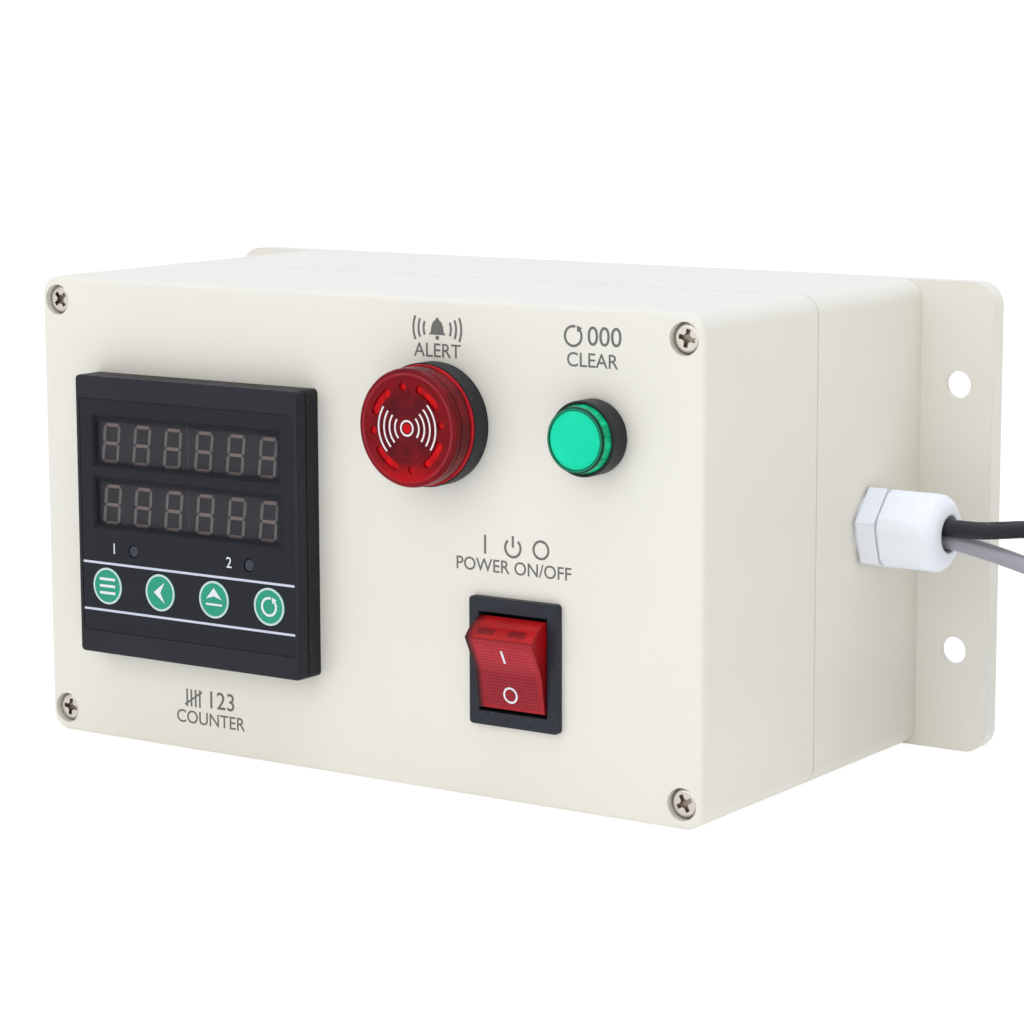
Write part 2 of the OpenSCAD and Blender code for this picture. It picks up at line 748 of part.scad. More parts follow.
module counter_bezel() {
    color("#26272a") on_counter() difference() {
        union() {
            translate([0, 0, counter_flange_t]) soft_block(counter_w, counter_w, counter_bezel_t, 1.2, 0.5);
            translate([0, 0, skirt_level]) plate(skirt_w, skirt_w, counter_flange_t - skirt_level + 0.5, 1);
        }
        translate([0, 0, panel_front]) plate(overlay_w, overlay_h, overlay_t + 1, 1);
        translate([0, 0, skirt_level - 1])
            plate(skirt_w - 2 * skirt_t, skirt_w - 2 * skirt_t, panel_back - skirt_level + 1, 0.5);
        at_windows() translate([0, 0, panel_back - 1]) plate(window_w, window_h, bezel_panel_t + 2, 0.5);
        at_lamps() translate([0, 0, panel_back - 1])
            cylinder(d = lamp_d + 2 * slip_gap, h = bezel_panel_t + 2);
        at_keys() {
            translate([0, 0, panel_front - key_pocket_depth])
                cylinder(d = key_d + 2 * slip_gap, h = key_pocket_depth + 1);
            translate([0, 0, panel_back - 1])
                cylinder(d = key_stem_d + 2 * slip_gap, h = bezel_panel_t + 2);
        }
    }
}

module counter_case() {
    vent_w = 1.6;
    vent_len = 26;
    vent_pitch = 6;
    color("#2b2c2e") on_counter() difference() {
        union() {
            plate(counter_w, counter_w, counter_flange_t, 1.2);
            translate([0, 0, -case_len]) plate(case_w, case_w, case_len + 1, 2);
        }
        translate([0, 0, skirt_level - slip_gap])
            plate(skirt_w + 2 * slip_gap, skirt_w + 2 * slip_gap, counter_flange_t, 1 + slip_gap);
        translate([0, 0, -case_len - 1]) plate(case_inner_w, case_inner_w, case_len + skirt_level + 1, 1);
        difference() {
            translate([0, 0, counter_flange_t - 0.4]) plate(counter_w + 2, counter_w + 2, 1, 2);
            translate([0, 0, counter_flange_t - 1]) plate(counter_w - 0.8, counter_w - 0.8, 2, 0.8);
        }
        for (i = [-3:3], y = [-1, 1])
            translate([i * vent_pitch, y * case_w / 2, -(case_len + vent_len) / 2])
                block(vent_w, 8, vent_len);
    }
}

module counter_overlay() {
    film_gap = 0.1;
    color("#1c1d20") on_counter() translate([0, 0, panel_front]) difference() {
        plate(overlay_w - 2 * film_gap, overlay_h - 2 * film_gap, overlay_t, 1 - film_gap);
        at_windows() translate([0, 0, -1]) plate(window_w, window_h, overlay_t + 2, 0.5);
        at_lamps() translate([0, 0, -1]) cylinder(d = lamp_d + 2 * slip_gap, h = overlay_t + 2);
        at_keys() translate([0, 0, -1]) cylinder(d = key_d + 2 * slip_gap, h = overlay_t + 2);
    }
}

module display_panes() {
    color("#3f3b3c") on_counter() at_windows() translate([0, 0, pane_front - pane_t])
        plate(window_w - slip_gap, window_h - slip_gap, pane_t, 0.5 - slip_gap / 2);
}

module display_module(side, level) {
    color("#2f2b2b") on_counter() translate([side * window_w / 4, level, display_back])
        block(display_w, display_h, display_depth);
}

module upper_display_left() {
    display_module(-1, upper_window_z);
}

module upper_display_right() {
    display_module(1, upper_window_z);
}

module lower_display_left() {
    display_module(-1, lower_window_z);
}

module lower_display_right() {
    display_module(1, lower_window_z);
}

// One bar with pointed ends, lying along x.
module segment(length) {
    half = (length - segment_gap) / 2;
    tip = segment_w / 2;
    polygon([[-half, 0], [tip - half, tip], [half - tip, tip],
             [half, 0], [half - tip, -tip], [tip - half, -tip]]);
}

module digit() {
    across = digit_w - segment_w;
    upright = (digit_h - segment_w) / 2;
    multmatrix([[1, tan(digit_slant), 0, 0], [0, 1, 0, 0], [0, 0, 1, 0], [0, 0, 0, 1]]) {
        for (y = [-upright, 0, upright]) translate([0, y]) segment(across);
        for (x = [-1, 1], y = [-1, 1])
            translate([x * across / 2, y * upright / 2]) rotate(90) segment(upright);
    }
    translate([(digit_w + segment_w) / 2 + point_gap, -upright]) circle(segment_w / 2);
}

module display_segments() {
    color("#8d7f7c") on_counter() at_windows() for (i = [0:digit_count - 1])
        translate([digit_shift + (i - (digit_count - 1) / 2) * digit_pitch, -digit_drop, display_face])
            linear_extrude(segment_t) digit();
}

module alarm_lamps() {
    lamp_len = overlay_front - 0.05 - display_back;
    color("#55565a") on_counter() at_lamps() translate([0, 0, display_back])
        soft_disc(lamp_d / 2, lamp_len, 0.3);
}

module key(index) {
    color("#25a878") on_counter() translate([key_places[index], key_z, 0]) {
        translate([0, 0, key_back]) soft_disc(key_d / 2, key_t, 0.3);
        translate([0, 0, key_stem_end]) cylinder(d = key_stem_d, h = key_back - key_stem_end + 0.2);
    }
}

module key_menu() {
    key(0);
}

module key_left() {
    key(1);
}

module key_up() {
    key(2);
}

module key_zero() {
    key(3);
}

module key_switches() {
    color("#4a4a4a") on_counter() at_keys() translate([0, 0, display_back]) {
        block(tact_w, tact_w, actuator_top - tact_button_len - display_back);
        cylinder(d = tact_button_d, h = actuator_top - display_back);
    }
}

module display_board() {
    color("#2f6b3f") on_counter() translate([0, 0, board_back]) plate(board_w, board_w, board_t, 1);
}

module main_board() {
    color("#2f6b3f") on_counter() translate([0, main_board_z + board_t / 2, board_back - main_board_len])
        block(main_board_w, board_t, main_board_len);
}

// Puts children on the main board: x right, y inwards, z up.
module on_main_board(x, depth) {
    on_counter() translate([x, main_board_top, board_back - depth]) rotate([-90, 0, 0]) children();
}

module transformer() {
    color("#6d6a60") on_main_board(transformer_x, transformer_depth) {
        block(core_w, core_t, core_h);
        translate([0, 0, (core_h - bobbin_h) / 2]) block(bobbin_w, bobbin_t, bobbin_h);
    }
}

module capacitor() {
    color("#33415c") on_main_board(capacitor_x, capacitor_depth) soft_disc(capacitor_d / 2, capacitor_h, 1);
}

module alarm_relays() {
    color("#2f4f7a") for (depth = relay_depths)
        on_main_board(relay_x, depth) block(relay_w, relay_t, relay_h);
}

module rear_cover() {
    color("#2b2c2e") on_counter() translate([0, 0, cover_back]) plate(case_w, case_w, case_cover_t, 2);
}

module at_terminals() {
    for (y = terminal_rows, i = [0:terminal_count - 1])
        translate([(i - (terminal_count - 1) / 2) * terminal_pitch, y, cover_back - terminal_depth])
            children();
}

module terminal_blocks() {
    color("#303338") on_counter() difference() {
        for (y = terminal_rows)
            translate([0, y, cover_back - terminal_depth]) block(terminal_w, terminal_h, terminal_depth);
        at_terminals() translate([0, 0, -1])
            cylinder(d = terminal_screw_d + 2 * slip_gap, h = terminal_screw_sink + terminal_screw_len + 1);
    }
}

module terminal_screws() {
    color("#b9b8b4") on_counter() at_terminals() translate([0, 0, terminal_screw_sink]) difference() {
        cylinder(d = terminal_screw_d, h = terminal_screw_len);
        translate([0, 0, -1]) block(terminal_screw_d + 1, 0.8, 1.8);
    }
}

// Puts children on the left and right sides of the counter's case.
module at_clamps() {
    on_counter() for (turn = [0, 180]) rotate(turn) translate([case_w / 2, 0, clamp_level]) children();
}

module panel_clamps() {
    arm_len = 30;
    foot_t = 6;
    color("#3a3b3d") at_clamps() difference() {
        union() {
            translate([clamp_foot / 2, 0, -foot_t]) block(clamp_foot, clamp_h, foot_t);
            translate([clamp_t / 2, 0, -arm_len]) block(clamp_t, clamp_h, arm_len);
        }
        translate([clamp_screw_offset, 0, -foot_t - 1])
            cylinder(d = clamp_screw_d + 2 * thread_gap, h = foot_t + 2);
    }
}

module clamp_screws() {
    head_h = 2.2;
    tip = -wall - clamp_level;
    color("#b9b8b4") at_clamps() translate([clamp_screw_offset, 0, 0]) difference() {
        union() {
            translate([0, 0, tip - clamp_screw_len]) cylinder(d = clamp_screw_d, h = clamp_screw_len);
            translate([0, 0, tip - clamp_screw_len - head_h]) cylinder(d = clamp_screw_d + 2.6, h = head_h);
        }
        translate([0, 0, tip - clamp_screw_len - head_h - 1]) block(clamp_screw_d + 4, 0.8, 2);
    }
}

// Buzzer

module on_buzzer() {
    on_panel(buzzer_x, buzzer_z) children();
}

// A slot with round ends, bent about the lens's axis.
module sound_slot(t) {
    rotate(-sound_angle / 2) rotate_extrude(angle = sound_angle)
        translate([sound_r - sound_w / 2, 0]) square([sound_w, t]);
    for (turn = [-1, 1]) rotate(turn * sound_angle / 2)
        translate([sound_r, 0, 0]) cylinder(d = sound_w, h = t);
}

module buzzer_lens() {
    foot_t = 0.9;
    groove_w = 0.4;
    lens_front = buzzer_flange_t + lens_len;
    color("#a8182a") on_buzzer() difference() {
        union() {
            translate([0, 0, buzzer_flange_t]) soft_disc(lens_d / 2, lens_len, 0.9);
            translate([0, 0, buzzer_flange_t]) cylinder(d = lens_d + 0.7, h = foot_t);
            translate([0, 0, buzzer_flange_t - spigot_len]) cylinder(d = spigot_d, h = spigot_len + 1);
        }
        translate([0, 0, buzzer_flange_t - spigot_len - 1])
            cylinder(d = lens_bore_d, h = spigot_len + lens_len - lens_front_t + 1);
        translate([0, 0, lens_front - 2.4]) ring(lens_d + 1, lens_d - groove_w, groove_w);
        for (quarter = [0:3]) rotate(quarter * 90 + sound_turn) {
            rotate(45) translate([0, 0, lens_front - lens_front_t - 1]) sound_slot(lens_front_t + 2);
            translate([sound_r, 0, lens_front - lens_front_t - 1])
                cylinder(d = sound_w, h = lens_front_t + 2);
        }
    }
}

module buzzer_body() {
    color("#3a3b3d") on_buzzer() difference() {
        union() {
            translate([0, 0, buzzer_seal_t])
                cylinder(d = buzzer_flange_d, h = buzzer_flange_t - buzzer_seal_t);
            translate([0, 0, -buzzer_barrel_len]) cylinder(d = buzzer_barrel_d, h = buzzer_barrel_len + 2);
        }
        translate([0, 0, lens_recess_floor]) cylinder(d = lens_recess_d, h = lens_recess_depth + 1);
        translate([0, 0, buzzer_bore_floor]) cylinder(d = buzzer_bore_d, h = buzzer_barrel_len + 4);
    }
}

module buzzer_seal() {
    color("#2a2a2a") on_buzzer() ring(buzzer_flange_d - 0.4, buzzer_hole_d, buzzer_seal_t);
}

module buzzer_sounder() {
    color("#c9a85c") on_buzzer() translate([0, 0, lens_recess_floor]) {
        cylinder(d = lens_bore_d - 2 * slip_gap, h = sounder_t);
        cylinder(d = lens_bore_d / 2, h = sounder_t + 0.4);
    }
}

module buzzer_lamp_board() {
    color("#2f6b3f") on_buzzer() translate([0, 0, lamp_board_level])
        cylinder(d = buzzer_bore_d - 2 * slip_gap, h = lamp_board_t);
}

module buzzer_nut() {
    color("#3a3b3d") on_buzzer() translate([0, 0, -wall - buzzer_nut_t])
        hex_nut(buzzer_nut_flats, buzzer_barrel_d + 2 * thread_gap, buzzer_nut_t);
}

module buzzer_terminals() {
    color("#c8a24a") on_buzzer() for (x = [-1, 1])
        translate([x * buzzer_tab_x, 0, -buzzer_barrel_len - buzzer_tab_len])
            block(buzzer_tab_w, buzzer_tab_h, buzzer_tab_len);
}

// Reset button

module on_reset() {
    on_panel(reset_x, reset_z) children();
}

module reset_cap() {
    cap_r = cap_d / 2;
    rim_r = cap_r - cap_taper;
    face_r = rim_r - cap_rim;
    face_level = cap_front - cap_face_sink;
    color("#27d8a8") on_reset() rotate_extrude() polygon([[0, cap_back], [cap_r, cap_back],
        [cap_r, reset_bezel_t], [rim_r, cap_front - cap_rim_edge], [rim_r - cap_rim_edge, cap_front],
        [face_r, cap_front], [face_r, face_level], [0, face_level]]);
}

module reset_stem() {
    color("#e9e7e0") on_reset() {
        translate([0, 0, collar_top]) cylinder(d = stem_d, h = cap_back - collar_top);
        translate([0, 0, collar_top - collar_t]) cylinder(d = collar_d, h = collar_t);
        translate([0, 0, pin_end]) cylinder(d = pin_d, h = collar_top - pin_end);
    }
}

module reset_spring() {
    steps = 12;
    last = spring_turns * steps;
    rise = spring_top - spring_bottom - spring_wire - 0.1;
    coil = [for (i = [0:last])
        let (a = 360 * i / steps)
        [spring_r * cos(a), spring_r * sin(a), spring_bottom + spring_wire / 2 + 0.05 + rise * i / last]];
    route = [for (p = coil) [p[0], p[2], -p[1]]];
    color("#9a9a9a") on_reset() rotate([90, 0, 0]) tube(route, spring_wire, 6, [0, 1, 0]);
}

module reset_body() {
    color("#3a3b3d") on_reset() difference() {
        union() {
            translate([0, 0, reset_seal_t]) soft_disc(reset_bezel_d / 2, reset_bezel_t - reset_seal_t, 0.3);
            translate([0, 0, -reset_barrel_len]) cylinder(d = reset_barrel_d, h = reset_barrel_len + 1);
        }
        translate([0, 0, cap_bore_floor]) cylinder(d = cap_bore_d, h = reset_bezel_t);
        translate([0, 0, reset_floor_back - 1])
            cylinder(d = stem_bore_d, h = cap_bore_floor - reset_floor_back + 2);
        translate([0, 0, -reset_barrel_len - 1])
            cylinder(d = reset_cavity_d, h = reset_barrel_len + reset_floor_back + 1);
    }
}

module reset_seal() {
    color("#2a2a2a") on_reset() ring(reset_bezel_d - 0.4, reset_hole_d, reset_seal_t);
}

module reset_nut() {
    color("#3a3b3d") on_reset() translate([0, 0, -wall - reset_nut_t])
        hex_nut(reset_nut_flats, reset_barrel_d + 2 * thread_gap, reset_nut_t);
}

module reset_contact_block() {
    color("#b9c4c9") on_reset() translate([0, 0, -reset_barrel_len - contact_len])
        plate(contact_w, contact_w, contact_len, 1);
}

module reset_terminals() {
    color("#c8a24a") on_reset() for (x = [-1, 1], y = [-1, 1])
        translate([x * reset_tab_place, y * reset_tab_place, -reset_barrel_len - contact_len - reset_tab_len])
            block(reset_tab_w, reset_tab_t, reset_tab_len);
}

// Rocker switch

module on_switch() {
    on_panel(switch_x, switch_z) children();
}

module switch_housing() {
    pivot_hole_d = pivot_d + 0.12;
    color("#3a3b3d") on_switch() difference() {
        union() {
            soft_block(switch_bezel_w, switch_bezel_h, switch_bezel_t, 1, 0.35);
            translate([0, 0, -switch_body_len]) block(switch_body_w, switch_body_h, switch_body_len + 1);
        }
        translate([0, 0, rocker_floor])
            block(rocker_opening_w, rocker_opening_h, switch_bezel_t - rocker_floor + 1);
        translate([0, 0, rocker_pivot]) rotate([0, 90, 0])
            cylinder(d = pivot_hole_d, h = rocker_opening_w + 2 * (pin_len - rocker_gap) + 0.4,
                     center = true);
    }
}

// Side view of the rocker about its pivot: x up the panel, y towards the viewer.
module rocker_section() {
    corner = [for (s = [-1, 1]) rocker_r * [s * sin(rocker_corner_angle), cos(rocker_corner_angle)]];
    foot = [for (s = [-1, 1]) rocker_r * [s * sin(rocker_end_angle), cos(rocker_end_angle)]];
    intersection() {
        circle(rocker_r);
        polygon([[0, rocker_hollow], corner[1], 2 * corner[1], 2 * foot[1], foot[1],
                 foot[0], 2 * foot[0], 2 * corner[0], corner[0]]);
    }
}

module switch_rocker() {
    color("#b8202c") on_switch() translate([0, 0, rocker_pivot]) rotate([rocker_tilt, 0, 0]) {
        rotate([90, 0, 90]) linear_extrude(rocker_w, center = true) rocker_section();
        rotate([0, 90, 0]) cylinder(d = pivot_d, h = rocker_w + 2 * pin_len, center = true);
    }
}

module switch_terminals() {
    color("#c9c6bc") on_switch() for (x = [-1, 1], y = [-1, 1])
        translate([x * blade_x, y * blade_z, -switch_body_len - blade_len])
            block(blade_t, blade_w, blade_len);
}

// Gland

module gland_body() {
    color("#eceef2") on_side() difference() {
        union() {
            translate([0, 0, gland_hex_start]) rotate(gland_turn) hexagon(gland_flats, gland_hex_len);
            translate([0, 0, -gland_thread_len]) cylinder(d = gland_thread_d, h = gland_thread_len + 2);
            translate([0, 0, gland_hex_end - 1]) cylinder(d = gland_thread_d, h = gland_neck_len + 1);
        }
        translate([0, 0, -gland_thread_len - 1])
            cylinder(d = gland_bore_d, h = gland_thread_len + gland_neck_end + 2);
    }
}

module gland_cap() {
    dome_center_r = gland_cap_r - gland_dome_r;
    dome_level = gland_cap_len - gland_dome_r;
    color("#eceef2") on_side() translate([0, 0, gland_cap_start]) difference() {
        intersection() {
            rotate(gland_turn) hexagon(gland_flats, gland_cap_len);
            rotate_extrude() {
                square([gland_cap_r, dome_level]);
                square([dome_center_r, gland_cap_len]);
                translate([dome_center_r, dome_level]) circle(gland_dome_r);
            }
        }
        translate([0, 0, -1])
            cylinder(d = gland_thread_d + 2 * thread_gap, h = gland_seal_end - gland_cap_start + 1);
        cylinder(d = gland_mouth_d, h = gland_cap_len + 1);
    }
}

module gland_washer() {
    color("#3c3c3c") on_side() ring(gland_flats - 1, gland_hole_d, gland_washer_t);
}

module gland_seal() {
    seal_len = gland_seal_end - gland_seal_start;
    color("#2a2a2a") on_side() translate([0, 0, gland_seal_start]) difference() {
        cylinder(d = gland_bore_d - 2 * thread_gap, h = seal_len);
        for (side = [-1, 1]) rotate(cord_lean) translate([side * cord_pitch / 2, 0, -1])
            cylinder(d = cord_bore_d, h = seal_len + 2);
    }
}

module gland_nut() {
    color("#eceef2") on_side() translate([0, 0, -wall - gland_nut_t])
        hex_nut(gland_flats + 2, gland_thread_d + 2 * thread_gap, gland_nut_t);
}

// Cords

module coil_ring(level) {
    translate(coil_place + [0, 0, level + coil_h / 2])
        rotate_extrude() translate([coil_d / 2, 0]) round_rect(coil_w, coil_h, cord_d / 2);
}

module power_cord() {
    color("#2e2e33") {
        tube(power_lead, cord_d, 10, [0, 1, 0]);
        tube(power_tail, cord_d, 10, [0, 0, 1]);
    }
}

module power_coil() {
    color("#2e2e33") coil_ring(power_coil_z);
}

// Puts children at a cord's end piece: z points along the cord, away from the coil.
module at_end(side, level) {
    translate(coil_place + [side, end_y, level]) rotate([90, 0, 0]) children();
}

module power_plug() {
    pin_pitch = 12.7;
    color("#2e2e33") at_end(plug_side, plug_t / 2) {
        cylinder(d1 = cord_d + 2.6, d2 = 10.5, h = plug_relief_len);
        translate([0, 0, plug_relief_len]) plate(plug_w, plug_t, plug_len, 5);
        for (x = [-1, 1]) translate([x * pin_pitch / 2, 0, plug_relief_len + plug_len - 1])
            block(1.5, 6.3, plug_pin_len + 1);
    }
}

module signal_cord() {
    color("#8c8a96") {
        tube(signal_lead, cord_d, 10, [0, 1, 0]);
        tube(signal_tail, cord_d, 10, [0, 0, 1]);
    }
}

module signal_coil() {
    color("#8c8a96") coil_ring(signal_coil_z);
}

module signal_connector() {
    ring_len = 13;
    color("#9a9a9a") at_end(connector_side, connector_ring_d / 2) {
        cylinder(d1 = cord_d + 2.4, d2 = connector_d - 2, h = connector_relief_len);
        translate([0, 0, connector_relief_len]) cylinder(d = connector_d, h = connector_len);
        translate([0, 0, connector_relief_len + 8]) cylinder(d = connector_ring_d, h = ring_len);
    }
}

module coil_tie() {
    inner_w = coil_w + 2 * tie_gap;
    inner_h = 2 * coil_h + 2 * tie_gap;
    color("#1f1f1f") translate(coil_place + [0, 0, power_coil_z - tie_gap + inner_h / 2])
        rotate(tie_angle) translate([coil_d / 2, 0, 0]) rotate([90, 0, 0])
        translate([0, 0, -tie_w / 2]) difference() {
            block(inner_w + 2 * tie_t, inner_h + 2 * tie_t, tie_w);
            translate([0, 0, -1]) block(inner_w, inner_h, tie_w + 2);
        }
}

enclosure_base();
enclosure_lid();
lid_seal();
lid_screws();
screw_inserts();
counter_bezel();
counter_case();
counter_overlay();
display_panes();
upper_display_left();
upper_display_right();
lower_display_left();
lower_display_right();
display_segments();
alarm_lamps();
key_menu();
key_left();
key_up();
key_zero();
key_switches();
display_board();
main_board();
transformer();
capacitor();
alarm_relays();
rear_cover();
terminal_blocks();
terminal_screws();
panel_clamps();
clamp_screws();
buzzer_lens();
buzzer_body();
buzzer_seal();
buzzer_sounder();
buzzer_lamp_board();
buzzer_nut();
buzzer_terminals();
reset_cap();
reset_stem();
reset_spring();
reset_body();
reset_seal();
reset_nut();
reset_contact_block();
reset_terminals();
switch_housing();
switch_rocker();
switch_terminals();
gland_body();
gland_cap();
gland_washer();
gland_seal();
gland_nut();
power_cord();
power_coil();
power_plug();
signal_cord();
signal_coil();
signal_connector();
coil_tie();
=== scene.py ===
"""Looks of the panel counter: materials, printed signs, cords, camera and light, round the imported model.

Places and sizes are in millimetres in the part's frame, unless a comment says otherwise: X runs to
the right, Y to the back and Z up. They become metres, by MM, where Blender takes them.
"""
import math

import bmesh
import bpy
from mathutils import Matrix, Vector


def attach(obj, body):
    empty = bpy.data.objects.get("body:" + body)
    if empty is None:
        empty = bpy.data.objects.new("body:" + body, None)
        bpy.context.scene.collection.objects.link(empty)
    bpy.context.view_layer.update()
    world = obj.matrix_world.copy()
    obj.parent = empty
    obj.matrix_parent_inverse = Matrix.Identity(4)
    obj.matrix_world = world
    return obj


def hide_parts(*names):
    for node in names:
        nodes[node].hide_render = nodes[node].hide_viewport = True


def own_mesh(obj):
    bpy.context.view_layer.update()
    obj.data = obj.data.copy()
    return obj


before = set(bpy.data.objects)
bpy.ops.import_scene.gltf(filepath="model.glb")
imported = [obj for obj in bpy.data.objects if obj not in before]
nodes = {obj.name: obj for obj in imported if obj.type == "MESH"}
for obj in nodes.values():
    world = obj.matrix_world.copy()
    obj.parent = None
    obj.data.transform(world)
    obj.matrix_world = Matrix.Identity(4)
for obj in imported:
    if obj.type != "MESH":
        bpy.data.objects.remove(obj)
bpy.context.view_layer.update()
MM = 0.001

# The box: the lid's front face, the plane that it stands on, and the lid screws' X and Z
FACE_Y = -113.5
FLOOR_Z = -60.25
SCREWS = [(x * 94.95, z * 54.15) for x in (-1, 1) for z in (-1, 1)]

# The devices: X and Z of their middles, and the place where the gland leaves the side
COUNTER = (-46.0, 0.2)
BUZZER = (26.3, 30.3)
RESET = (71.1, 30.2)
SWITCH = (49.1, -26.0)
GLAND = (100.25, -31.2, 0.4)

# Front faces of the devices
DISPLAY_Y = FACE_Y - 7.02
OVERLAY_Y = FACE_Y - 8.3
KEY_Y = FACE_Y - 8.4
CAP_FACE_Y = FACE_Y - 8.65
LENS_Y = FACE_Y - 12.6

# The counter's front, from its middle: U to the right and V up
WINDOW_V = {"upper": 19.4, "lower": 3.5}
WINDOW_Z = [COUNTER[1] + v for v in WINDOW_V.values()]
KEY_U = {"menu": -26.475, "left": -8.825, "up": 8.825, "zero": 26.475}
KEY_V = -18.2
DIGIT_PITCH = 10.2
DIGIT_LEAN = math.radians(6)
DIGIT_DROP = 0.6
FIRST_DIGIT_X = COUNTER[0] + 0.3 - 2.5 * DIGIT_PITCH


def add_object(name, data):
    item = bpy.data.objects.new(name, data)
    bpy.context.scene.collection.objects.link(item)
    return item


# Node trees

def srgb(r, g, b):
    """A colour given as it looks on a screen, 0 to 255, as linear values."""
    def linear(v):
        v /= 255
        return v / 12.92 if v <= 0.04045 else ((v + 0.055) / 1.055) ** 2.4
    return (linear(r), linear(g), linear(b), 1.0)


def scaled(colour, k):
    return tuple(min(1.0, c * k) for c in colour[:3]) + (1.0,)


class Tree:
    """A material's node tree, with short ways to add and link nodes."""

    def __init__(self, name):
        self.material = bpy.data.materials.new(name)
        self.material.use_nodes = True
        self.tree = self.material.node_tree
        self.shader = self.tree.nodes["Principled BSDF"]
        self.place = self.add("ShaderNodeTexCoord").outputs["Object"]

    def add(self, kind, **values):
        node = self.tree.nodes.new(kind)
        for key, value in values.items():
            if key in node.inputs:
                node.inputs[key].default_value = value
            else:
                setattr(node, key, value)
        return node

    def link(self, a, b):
        self.tree.links.new(a, b)

    def put(self, socket, value):
        """Links a node's output to a socket, or sets the socket to a plain value."""
        if isinstance(value, bpy.types.NodeSocket):
            self.link(value, socket)
        else:
            socket.default_value = value

    def noise(self, size, detail=3.0, rough=0.55, place=None):
        node = self.add("ShaderNodeTexNoise", Scale=1 / (size * MM), Detail=detail, Roughness=rough)
        self.link(place or self.place, node.inputs["Vector"])
        return node.outputs["Fac"]

    def span(self, value, low, high, from_low=0.3, from_high=0.7):
        """Turns one range of values into another. The first range fits noise."""
        node = self.add("ShaderNodeMapRange")
        for socket, number in zip(node.inputs[1:5], (from_low, from_high, low, high)):
            socket.default_value = number
        self.link(value, node.inputs["Value"])
        return node.outputs["Result"]

    def patches(self, size, detail=2.0):
        """Cloudy patches, as a factor from 0 to 1."""
        return self.span(self.noise(size, detail), 0, 1)

    def fade(self, coordinate, start, end, first=1.0, last=0.0):
        """A factor that goes from first to last between two places along a coordinate."""
        return self.span(coordinate, first, last, start * MM, end * MM)

    def mix(self, factor, a, b):
        node = self.add("ShaderNodeMix", data_type="RGBA")
        for index, value in ((0, factor), (6, a), (7, b)):
            self.put(node.inputs[index], value)
        return node.outputs[2]

    def math(self, operation, a, b=0.0):
        node = self.add("ShaderNodeMath", operation=operation)
        self.put(node.inputs[0], a)
        self.put(node.inputs[1], b)
        return node.outputs[0]

    def times(self, a, b):
        return self.math("MULTIPLY", a, b)

    def ramp(self, value, stops):
        """Colours along a value from 0 to 1."""
        node = self.add("ShaderNodeValToRGB")
        elements = node.color_ramp.elements
        while len(elements) < len(stops):
            elements.new(0.5)
        for element, (position, colour) in zip(elements, stops):
            element.position = position
            element.color = colour
        self.link(value, node.inputs["Fac"])
        return node.outputs["Color"]

    def axes(self):
        node = self.add("ShaderNodeSeparateXYZ")
        self.link(self.place, node.inputs[0])
        return node.outputs

    def drawn_out(self, share):
        """The place with its Y shrunk, so that noise on it is drawn out along Y."""
        node = self.add("ShaderNodeMapping", Scale=(1.0, share, 1.0))
        self.link(self.place, node.inputs["Vector"])
        return node.outputs["Vector"]

    def away(self, coordinate, middle):
        """Distance of a coordinate from a middle."""
        return self.times(self.math("ABSOLUTE", self.math("SUBTRACT", coordinate, middle * MM)), 1 / MM)

    def radius(self, centre):
        """Distance from an axis along Y."""
        x, _, z = self.axes()
        a = self.away(x, centre[0])
        b = self.away(z, centre[1])
        return self.math("SQRT", self.math("ADD", self.times(a, a), self.times(b, b)))

    def relief(self, height, strength, depth, edge):
        """Fine relief of a given depth, on edges softened by a given radius."""
        bevel = self.add("ShaderNodeBevel", samples=4, Radius=edge * MM)
        bump = self.add("ShaderNodeBump", Strength=strength, Distance=depth * MM)
        self.link(height, bump.inputs["Height"])
        self.link(bevel.outputs["Normal"], bump.inputs["Normal"])
        self.link(bump.outputs["Normal"], self.shader.inputs["Normal"])

    def colour(self, value):
        self.link(value, self.shader.inputs["Base Color"])

    def set(self, **values):
        for key, value in values.items():
            self.shader.inputs[key.replace("_", " ")].default_value = value

    def done(self, rough, specular):
        self.set(Roughness=rough, Specular_IOR_Level=specular)
        return self.material


# Kinds of material

def moulded(name, colour, rough, grain=0.5, depth=0.02, tint=0.05, edge=0.2, speck_colour=None, **values):
    """Moulded plastic or rubber: fine grain, uneven colour and gloss, soft edges, rare pale specks."""
    tint_size, gloss_size, speck_size = 38, 6, 0.9
    speck_start, speck_full = 0.83, 0.88
    t = Tree(name)
    paint = t.mix(t.patches(tint_size), scaled(colour, 1 - tint), scaled(colour, 1 + tint))
    if speck_colour:
        specks = t.span(t.noise(speck_size, 0.0), 0, 1, speck_start, speck_full)
        paint = t.mix(specks, paint, speck_colour)
    t.colour(paint)
    t.link(t.span(t.noise(gloss_size), rough * 0.9, rough * 1.1), t.shader.inputs["Roughness"])
    t.relief(t.noise(grain, 4.0, 0.6), 0.35, depth, edge)
    t.set(**values)
    return t.material


def black(name, colour, rough, speck_colour=srgb(104, 106, 112), **values):
    """Dull black plastic or rubber, with rare pale specks unless they are kept off."""
    return moulded(name, colour, rough, speck_colour=speck_colour, Specular_IOR_Level=0.2, **values)


def metal(name, colour, rough):
    """Plated or drawn metal with faint scratches."""
    scratch_size, scratch_share = 0.25, 0.15
    t = Tree(name)
    scratches = t.noise(scratch_size, 5.0, 0.65, t.drawn_out(scratch_share))
    t.colour(t.mix(t.span(scratches, 0, 1), scaled(colour, 0.86), scaled(colour, 1.08)))
    t.link(t.span(scratches, rough * 0.8, rough * 1.25), t.shader.inputs["Roughness"])
    t.relief(scratches, 0.2, 0.01, 0.12)
    t.set(Metallic=1.0)
    return t.material


def ink(name, colour):
    """Screen-printed ink, slightly uneven."""
    t = Tree(name)
    t.colour(t.mix(t.patches(0.4, 3.0), scaled(colour, 0.93), scaled(colour, 1.05)))
    return t.done(0.55, 0.2)


